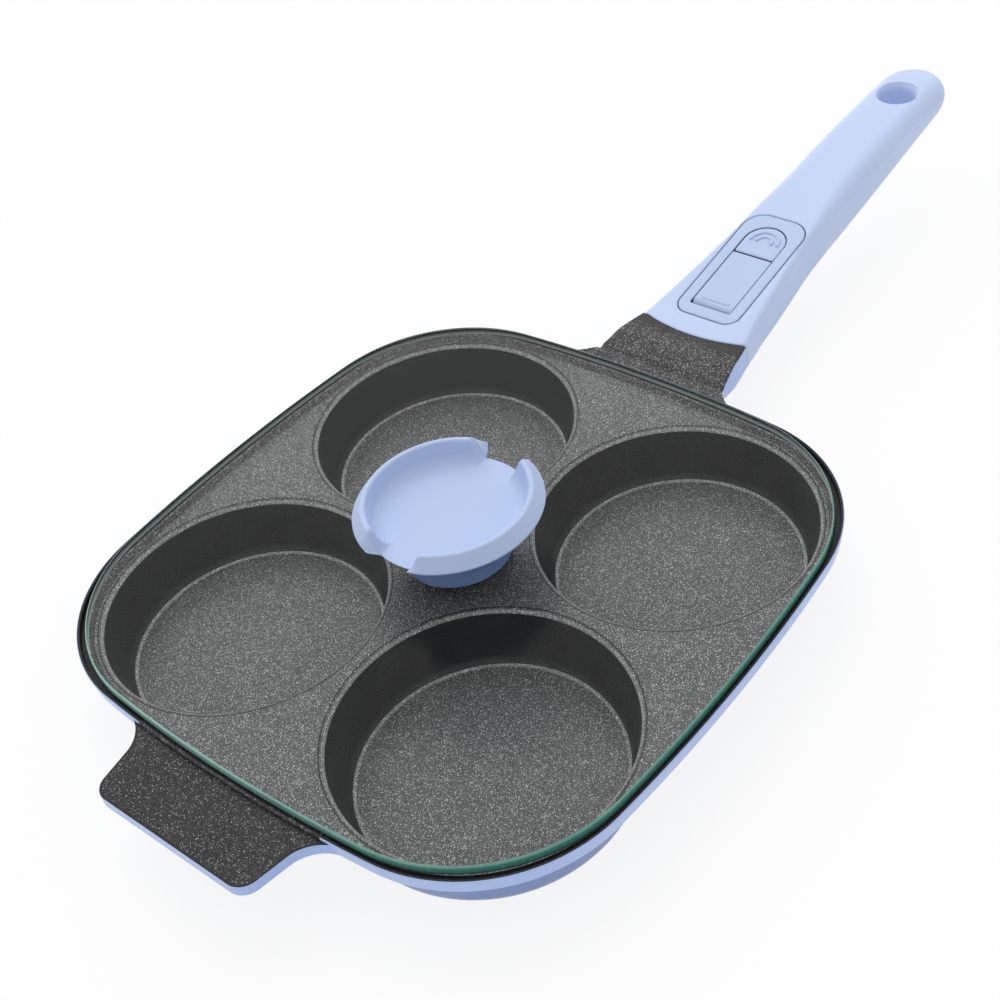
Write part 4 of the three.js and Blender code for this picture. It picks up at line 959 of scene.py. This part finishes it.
tile = {
    "width": 18.4, "cornerRound": 0.9,
    "leverStart": 5.8, "leverEnd": 38.4, "leverSoft": 0.45,
    "noseRadius": 3.4, "noseSteps": 44, "pinAlong": 9.2, "pinDepth": -3.575,
    "leverLow": -3.0,
    "barSpan": (3.7, 5.2),  # from the lever's start
    "barHalf": 6.6, "barRound": 0.7,
    "barLevels": ((0, -0.3), (0, 0.12), (0.07, 0.26), (0.28, 0.33)),  # narrower by, height
    "buttonStart": 39.2, "buttonCentre": 47.4, "buttonTop": -0.175,
    "buttonLevels": ((0, 0.75), (0.05, 0.45), (0.2, 0.2), (0.45, 0.05), (0.75, 0)),  # narrower by, depth
    "flangeTop": -2.7, "flangeDepth": 1.5, "flangeWider": 1.35, "flangeSoft": 0.3,
    "stemSize": 7.0, "stemLength": 6.0, "stemSoft": 0.4,
    "arcRadii": (6.3, 3.5), "arcWidth": 1.5, "arcHeight": 0.6, "arcRoot": -0.3,
    "camThrow": 1.8, "camRadius": 2.2, "camWidth": 15.0, "camSoft": 0.3,
}
tilt = math.radians(grip["tilt"])
panelX = joint["x"] + panel["start"] * math.cos(tilt)
levelX = panelX + panel["length"]
tipX = joint["x"] + grip["length"]


def gripTop(x):
    past = max(0.0, x - levelX)
    slope = math.tan(tilt)
    return joint["top"] + slope * (x - joint["x"]) - slope * past * past / (2 * (tipX - levelX))


# along, across and out of the tilted top
latchPlace = Matrix.Translation((panelX, 0, gripTop(panelX))) @ Matrix.Rotation(-tilt, 4, "Y")


def gripLoop(bm, distance, narrow=1, drop=0, shrink=0):
    g = grip
    flare = max(0.0, 1 - distance / g["flareLength"]) ** g["flarePower"]
    past = max(0.0, distance - g["flareLength"]) / (g["length"] - g["flareLength"])
    width = g["waistWidth"] + (g["endWidth"] - g["waistWidth"]) * past
    width += (joint["width"] - g["waistWidth"]) * flare
    swell = math.sin(math.pi / 2 * min(1, distance / g["bellyLength"]))
    pastBelly = max(0.0, (distance - g["bellyLength"]) / (g["length"] - g["bellyLength"]))
    fall = 1 - math.cos(math.pi / 2 * pastBelly)
    height = joint["height"] + (g["bellyHeight"] - joint["height"]) * swell
    height -= (g["bellyHeight"] - g["endHeight"]) * fall
    half = width / 2 * narrow - shrink
    x = joint["x"] + distance
    high = gripTop(x) - drop - shrink
    low = gripTop(x) - drop - height + 2 * drop + shrink
    fit = 0.95  # roundings stay inside the section
    upper = g["frontEdge"] + (g["upperEdge"] - g["frontEdge"]) * ease(distance, *g["upperSpan"])
    upper = min(upper, fit * min(half, (high - low) / 2))
    lower = g["frontLower"] + (g["lowerEdge"] - g["frontLower"]) * ease(distance, *g["lowerSpan"])
    lower = min(lower, fit * half, fit * (high - low - upper))
    return roundedLoop(bm, (-half, low), (half, high), (lower, lower, upper, upper), 10, acrossAt(x))


def panelLoop(bm, wider, height):
    p = panel
    half = p["width"] / 2 + wider
    front, back = p["frontRound"] + wider, p["backRound"] + wider
    low, high = (-wider, -half), (p["length"] + wider, half)
    return roundedLoop(bm, low, high, (front, back, back, front), 14, atHeight(height))


def tileLoop(bm, start, half, height, frontRound):
    back = half - 0.02
    low, high = (start, -half), (tile["buttonCentre"] + half, half)
    return roundedLoop(bm, low, high, (frontRound, back, back, frontRound), 16, atHeight(height))


def boxCutter(low, high):  # plain pocket with softened upright corners
    bm = bmesh.new()
    stackLoops(bm, [evenLoop(bm, low[:2], high[:2], pocket["cornerRound"], 3, z) for z in (low[2], high[2])])
    closeMesh(bm)
    # the pocket walls wear painted shade
    return toObject("pocketCutter", bm, panPlace, ("seamShadeBlue",))


def recessCutter():
    p = panel
    bm = bmesh.new()
    soft, seam = p["mouthSoft"], p["seam"]
    levels = [(seam, -p["thickness"] - p["rest"]), (seam, -soft)]
    levels += [(seam + aside, down) for aside, down in quarterRound(soft, 18)]
    levels += [(seam + soft, 0.02), (seam + soft + 0.5, 4)]
    stackLoops(bm, [panelLoop(bm, wider, height) for wider, height in levels])
    closeMesh(bm)
    # painted shade on the lower walls of the recess
    paint(bm, lambda f: 1 if f.calc_center_median().z < -soft * 0.6 else 0)
    return toObject("recessCutter", bm, panPlace @ latchPlace, ("gripBlue", "seamShadeBlue"))


def holeCutter():
    g = grip
    bm = bmesh.new()
    holeX, radius, soft = tipX - g["holeSetback"], g["holeRadius"], g["holeSoft"]
    top = gripTop(holeX)
    under = top - g["endHeight"] - 3.0
    profile = (
        (0, under - 12), (radius + soft + 6, under - 12), (radius + soft, under + 0.2),
        (radius, under + soft + 2), (radius, top - soft), (radius + soft, top + 0.05),
        (radius + soft + 3, top + 12), (0, top + 12),
    )
    turnedProfile(bm, profile, {4: (soft * 0.9, 6), 3: (soft, 6)}, (holeX, 0), g["holeSteps"])
    closeMesh(bm)
    return toObject("holeCutter", bm, panPlace, ("gripBlue",))


def buildGrip():
    g, k = grip, pocket
    bm = bmesh.new()
    endStart = g["length"] - g["endRun"]
    loops = [gripLoop(bm, distance, shrink=g["frontSoft"] * share) for distance, share in g["frontSteps"]]
    loops += [gripLoop(bm, 1.0 + (endStart - 1.0) * index / g["stations"]) for index in range(g["stations"])]
    for index in range(g["endStations"] + 1):
        angle = math.radians(g["endTurn"]) * index / g["endStations"]
        bulge = math.cos(angle)
        distance = endStart + g["endRun"] * math.sin(angle)
        loops.append(gripLoop(bm, distance, bulge ** g["endSquare"], g["endDrop"] * (1 - bulge)))
    stackLoops(bm, loops)
    front = joint["x"]
    for y in range(-24, 25, 3):
        sliceFaces(bm, [f for f in bm.faces if f.calc_center_median().x < front + 30], y + 0.5)
    for vert in bm.verts:
        fade = 1 - ease(vert.co.x - front, 0, g["bowRun"])
        vert.co.x += bowAt(vert.co.y, joint["bowRadius"]) * fade
    closeMesh(bm)
    # painted shade on the front face in the joint gap
    paint(bm, lambda f: 1 if f.normal.x < -0.9 else 0)
    obj = toObject("handleGrip", bm, panPlace, ("gripBlue", "seamShadeBlue"))
    pocketFront, pocketBack, half = panelX + k["front"], panelX + k["back"], k["half"]
    high, low, tongue = k["high"], k["tongueLow"], k["tongueHalf"]
    carve(obj, [
        recessCutter(),
        holeCutter(),
        boxCutter((pocketFront, -half, k["tongueTop"] + k["bossGap"]), (pocketBack, half, high)),
        boxCutter((pocketFront, -half, low), (front + k["bossStart"], half, high)),
        boxCutter((front - 8, -tongue, low), (pocketFront + 1, tongue, k["tongueTop"])),
    ])
    dress(obj, "handle", "handle_blue", 32, "handle_shell")


def buildPanel():
    p = panel
    bm = bmesh.new()
    soft = p["edgeSoft"]
    levels = [(0, -p["thickness"]), (0, -soft)]
    levels += [(-aside, down) for aside, down in quarterRound(soft, 22.5)]
    stackLoops(bm, [panelLoop(bm, wider, height) for wider, height in levels])
    closeMesh(bm)
    obj = toObject("latchPanel", bm, panPlace @ latchPlace, ("panelBlue", "seamShadeBlue"))
    window = bmesh.new()
    half = tile["width"] / 2 + p["seam"]
    start = tile["leverStart"] - p["seam"]
    levels = ((0, -p["thickness"] - 1),) + p["windowLevels"]
    corner = tile["cornerRound"]
    stackLoops(window, [tileLoop(window, start - w, half + w, height, corner + w) for w, height in levels])
    closeMesh(window)
    # painted shade on the deep walls of the window
    paint(window, lambda f: 1 if f.calc_center_median().z < -0.45 else 0)
    carve(obj, [toObject("windowCutter", window, panPlace @ latchPlace, ("panelBlue", "seamShadeBlue"))])
    dress(obj, "handle", "handle_blue", 32, "latch_panel")


def addBar(bm, top):  # plain raised bar across the tile, near its hinge
    t = tile
    bar = bmesh.new()
    start, end = (t["leverStart"] + along for along in t["barSpan"])
    half = t["barHalf"]
    stackLoops(bar, [
        evenLoop(bar, (start + cut, -half + cut), (end - cut, half - cut), t["barRound"] - cut, 5, top + rise)
        for cut, rise in t["barLevels"]
    ])
    closeMesh(bar)
    mesh = bpy.data.meshes.new("thumbBar")
    bar.to_mesh(mesh)
    bar.free()
    bm.from_mesh(mesh)
    bpy.data.meshes.remove(mesh)


def addCam(bm):
    t = tile
    made = bmesh.ops.create_cone(
        bm, cap_ends=True, segments=40, radius1=t["camRadius"], radius2=t["camRadius"], depth=t["camWidth"],
    )["verts"]
    along = t["pinAlong"] - math.sin(tilt) * t["camThrow"]
    out = t["pinDepth"] - math.cos(tilt) * t["camThrow"]
    place = Matrix.Translation((along, 0, out)) @ Matrix.Rotation(math.pi / 2, 4, "X")
    bmesh.ops.transform(bm, matrix=place, verts=made)
    ends = [e for e in edgesOf(made) if abs(e.verts[0].co.y - e.verts[1].co.y) < hair]
    roundEdges(bm, ends, t["camSoft"], 3)


def buildLever():
    t = tile
    bm = bmesh.new()
    half = t["width"] / 2
    top = t["pinDepth"] + t["noseRadius"]
    side = bm.verts.new((t["pinAlong"], -half, top))
    meet = math.acos((t["leverLow"] - t["pinDepth"]) / t["noseRadius"])
    pin = (t["pinAlong"], -half, t["pinDepth"])
    spinGeom(bm, [side], pin, 2 * math.pi - meet, t["noseSteps"], axis=(0, -1, 0))
    last = next(v for v in bm.verts if len(v.link_edges) == 1 and v is not side)
    lowEnd = bm.verts.new((t["leverEnd"], -half, t["leverLow"]))
    topEnd = bm.verts.new((t["leverEnd"], -half, top))
    for pair in ((last, lowEnd), (lowEnd, topEnd), (topEnd, side)):
        bm.edges.new(pair)
    cheek = bmesh.ops.contextual_create(bm, geom=list(bm.edges))["faces"][0]
    drawOut(bm, cheek, (0, t["width"], 0))
    outer = []
    for edge in bm.edges:
        first, second = (v.co for v in edge.verts)
        onCheek = abs(abs(first.y) - half) < hair and abs(first.y - second.y) < hair
        if onCheek or min(first.x, second.x) > t["leverEnd"] - 0.01:
            outer.append(edge)
    roundEdges(bm, outer, t["leverSoft"], 4)
    closeMesh(bm)
    addBar(bm, top)
    addCam(bm)
    end = t["leverEnd"] - 0.1
    # painted shade on the end facing the button
    paint(bm, lambda f: 1 if f.normal.x > 0.9 and f.calc_center_median().x > end else 0)
    makePiece(
        "releaseLever", bm, panPlace @ latchPlace, ("panelBlue", "seamShadeBlue"),
        "lever", "handle_blue", 38, "release_lever",
    )


def addArc(bm, centre, radius, top):  # raised half ring on the button
    t = tile
    wide = t["arcWidth"] / 2
    section = ((-wide, t["arcRoot"]), (-wide, t["arcHeight"]), (wide, t["arcHeight"]), (wide, t["arcRoot"]))
    verts = addChain(bm, [(centre, -radius + aside, top + rise) for aside, rise in section])
    known = set(bm.faces)
    bm.faces.new(verts)
    roundVerts(bm, [verts[1], verts[2]], 0.5, 5)
    face = next(f for f in bm.faces if f not in known)
    spinGeom(bm, [face] + list(face.edges) + list(face.verts), (centre, 0, 0), math.pi, 40)


def buildButton():
    t = tile
    bm = bmesh.new()
    half = t["width"] / 2
    top, flange, centre = t["buttonTop"], t["flangeTop"], t["buttonCentre"]
    levels = [(0, flange - 0.1)] + [(cut, top - depth) for cut, depth in t["buttonLevels"]]
    stackLoops(bm, [
        tileLoop(bm, t["buttonStart"] + cut * 1.6, half - cut, height, t["cornerRound"]) for cut, height in levels
    ])
    wide, soft, under = half + t["flangeWider"], t["flangeSoft"], flange - t["flangeDepth"]
    levels = ((soft, under), (0, under + soft), (0, flange - soft), (soft, flange))
    stackLoops(bm, [
        tileLoop(bm, t["buttonStart"] + 0.35 + cut, wide - cut, height, 0.6) for cut, height in levels
    ])
    size, foot = t["stemSize"] / 2, under - t["stemLength"]
    levels = ((t["stemSoft"], foot), (0, foot + t["stemSoft"]), (0, flange - 0.5))
    stackLoops(bm, [
        evenLoop(bm, (centre - size + cut, -size + cut), (centre + size - cut, size - cut), 0.6, 3, height)
        for cut, height in levels
    ])
    for radius in t["arcRadii"]:
        addArc(bm, centre, radius, top)
    closeMesh(bm)
    start = t["buttonStart"] + 0.1
    # painted shade on the front face facing the lever
    paint(bm, lambda f: 1 if f.normal.x < -0.9 and f.calc_center_median().x < start else 0)
    makePiece(
        "thumbButton", bm, panPlace @ latchPlace, ("panelBlue", "seamShadeBlue"),
        "button", "handle_blue", 38, "thumb_button",
    )


# coil under the thumb button
coil = {
    "radius": 2.1,  # to the middle of the wire
    "wire": 0.3,
    "wireSides": 10,
    "turns": 3,
    "turnSteps": 24,
    "low": -15.24,  # heights in the latch
    "high": -10.36,
    "pressed": 0.5,  # share of its length that is left
}


def buildCoil():
    c = coil
    bm = bmesh.new()
    bmesh.ops.create_circle(bm, cap_ends=True, segments=c["wireSides"], radius=c["wire"])
    start = Matrix.Translation((c["radius"], 0, c["low"] + c["wire"])) @ Matrix.Rotation(math.pi / 2, 4, "X")
    bmesh.ops.transform(bm, matrix=start, verts=bm.verts)
    steps = c["turns"] * c["turnSteps"]
    rise = (c["high"] - c["low"] - 2 * c["wire"]) / steps
    geom = list(bm.faces) + list(bm.edges) + list(bm.verts)
    spinGeom(bm, geom, (0, 0, 0), 2 * math.pi * c["turns"], steps, rise=rise)
    closeMesh(bm)
    place = panPlace @ latchPlace @ Matrix.Translation((tile["buttonCentre"], 0, 0))
    obj = toObject("buttonCoil", bm, place, ("drawnSteel",))
    dress(obj, "handle", "steel", 60, "button_spring")
    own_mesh(obj)


# pieces of the CAD frame that stay in sight when the pan is taken apart
innerFinish = {
    "drawnSteel": (
        "tongue_plate", "tongue_rivet_left", "tongue_rivet_right", "knob_screw", "knob_washer", "lever_pin",
        "clamp_shoe", "clamp_spring_left", "clamp_spring_right",
        "chassis_screw_1", "chassis_screw_2", "chassis_screw_3", "chassis_screw_4",
    ),
    "turnedBrass": ("knob_insert",),
    "softSeal": ("knob_gasket_lower", "knob_gasket_upper"),
    "trayPlastic": ("latch_chassis",),
}


def finishInner():
    for label, names in innerFinish.items():
        for name in names:
            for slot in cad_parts[name].material_slots:
                slot.material = finishes[label]
    print("inner pieces finished")


buildTray()
buildTab()
buildStem()
buildGlass()
buildKnob()
buildGrip()
buildPanel()
buildLever()
buildButton()
buildCoil()
finishInner()
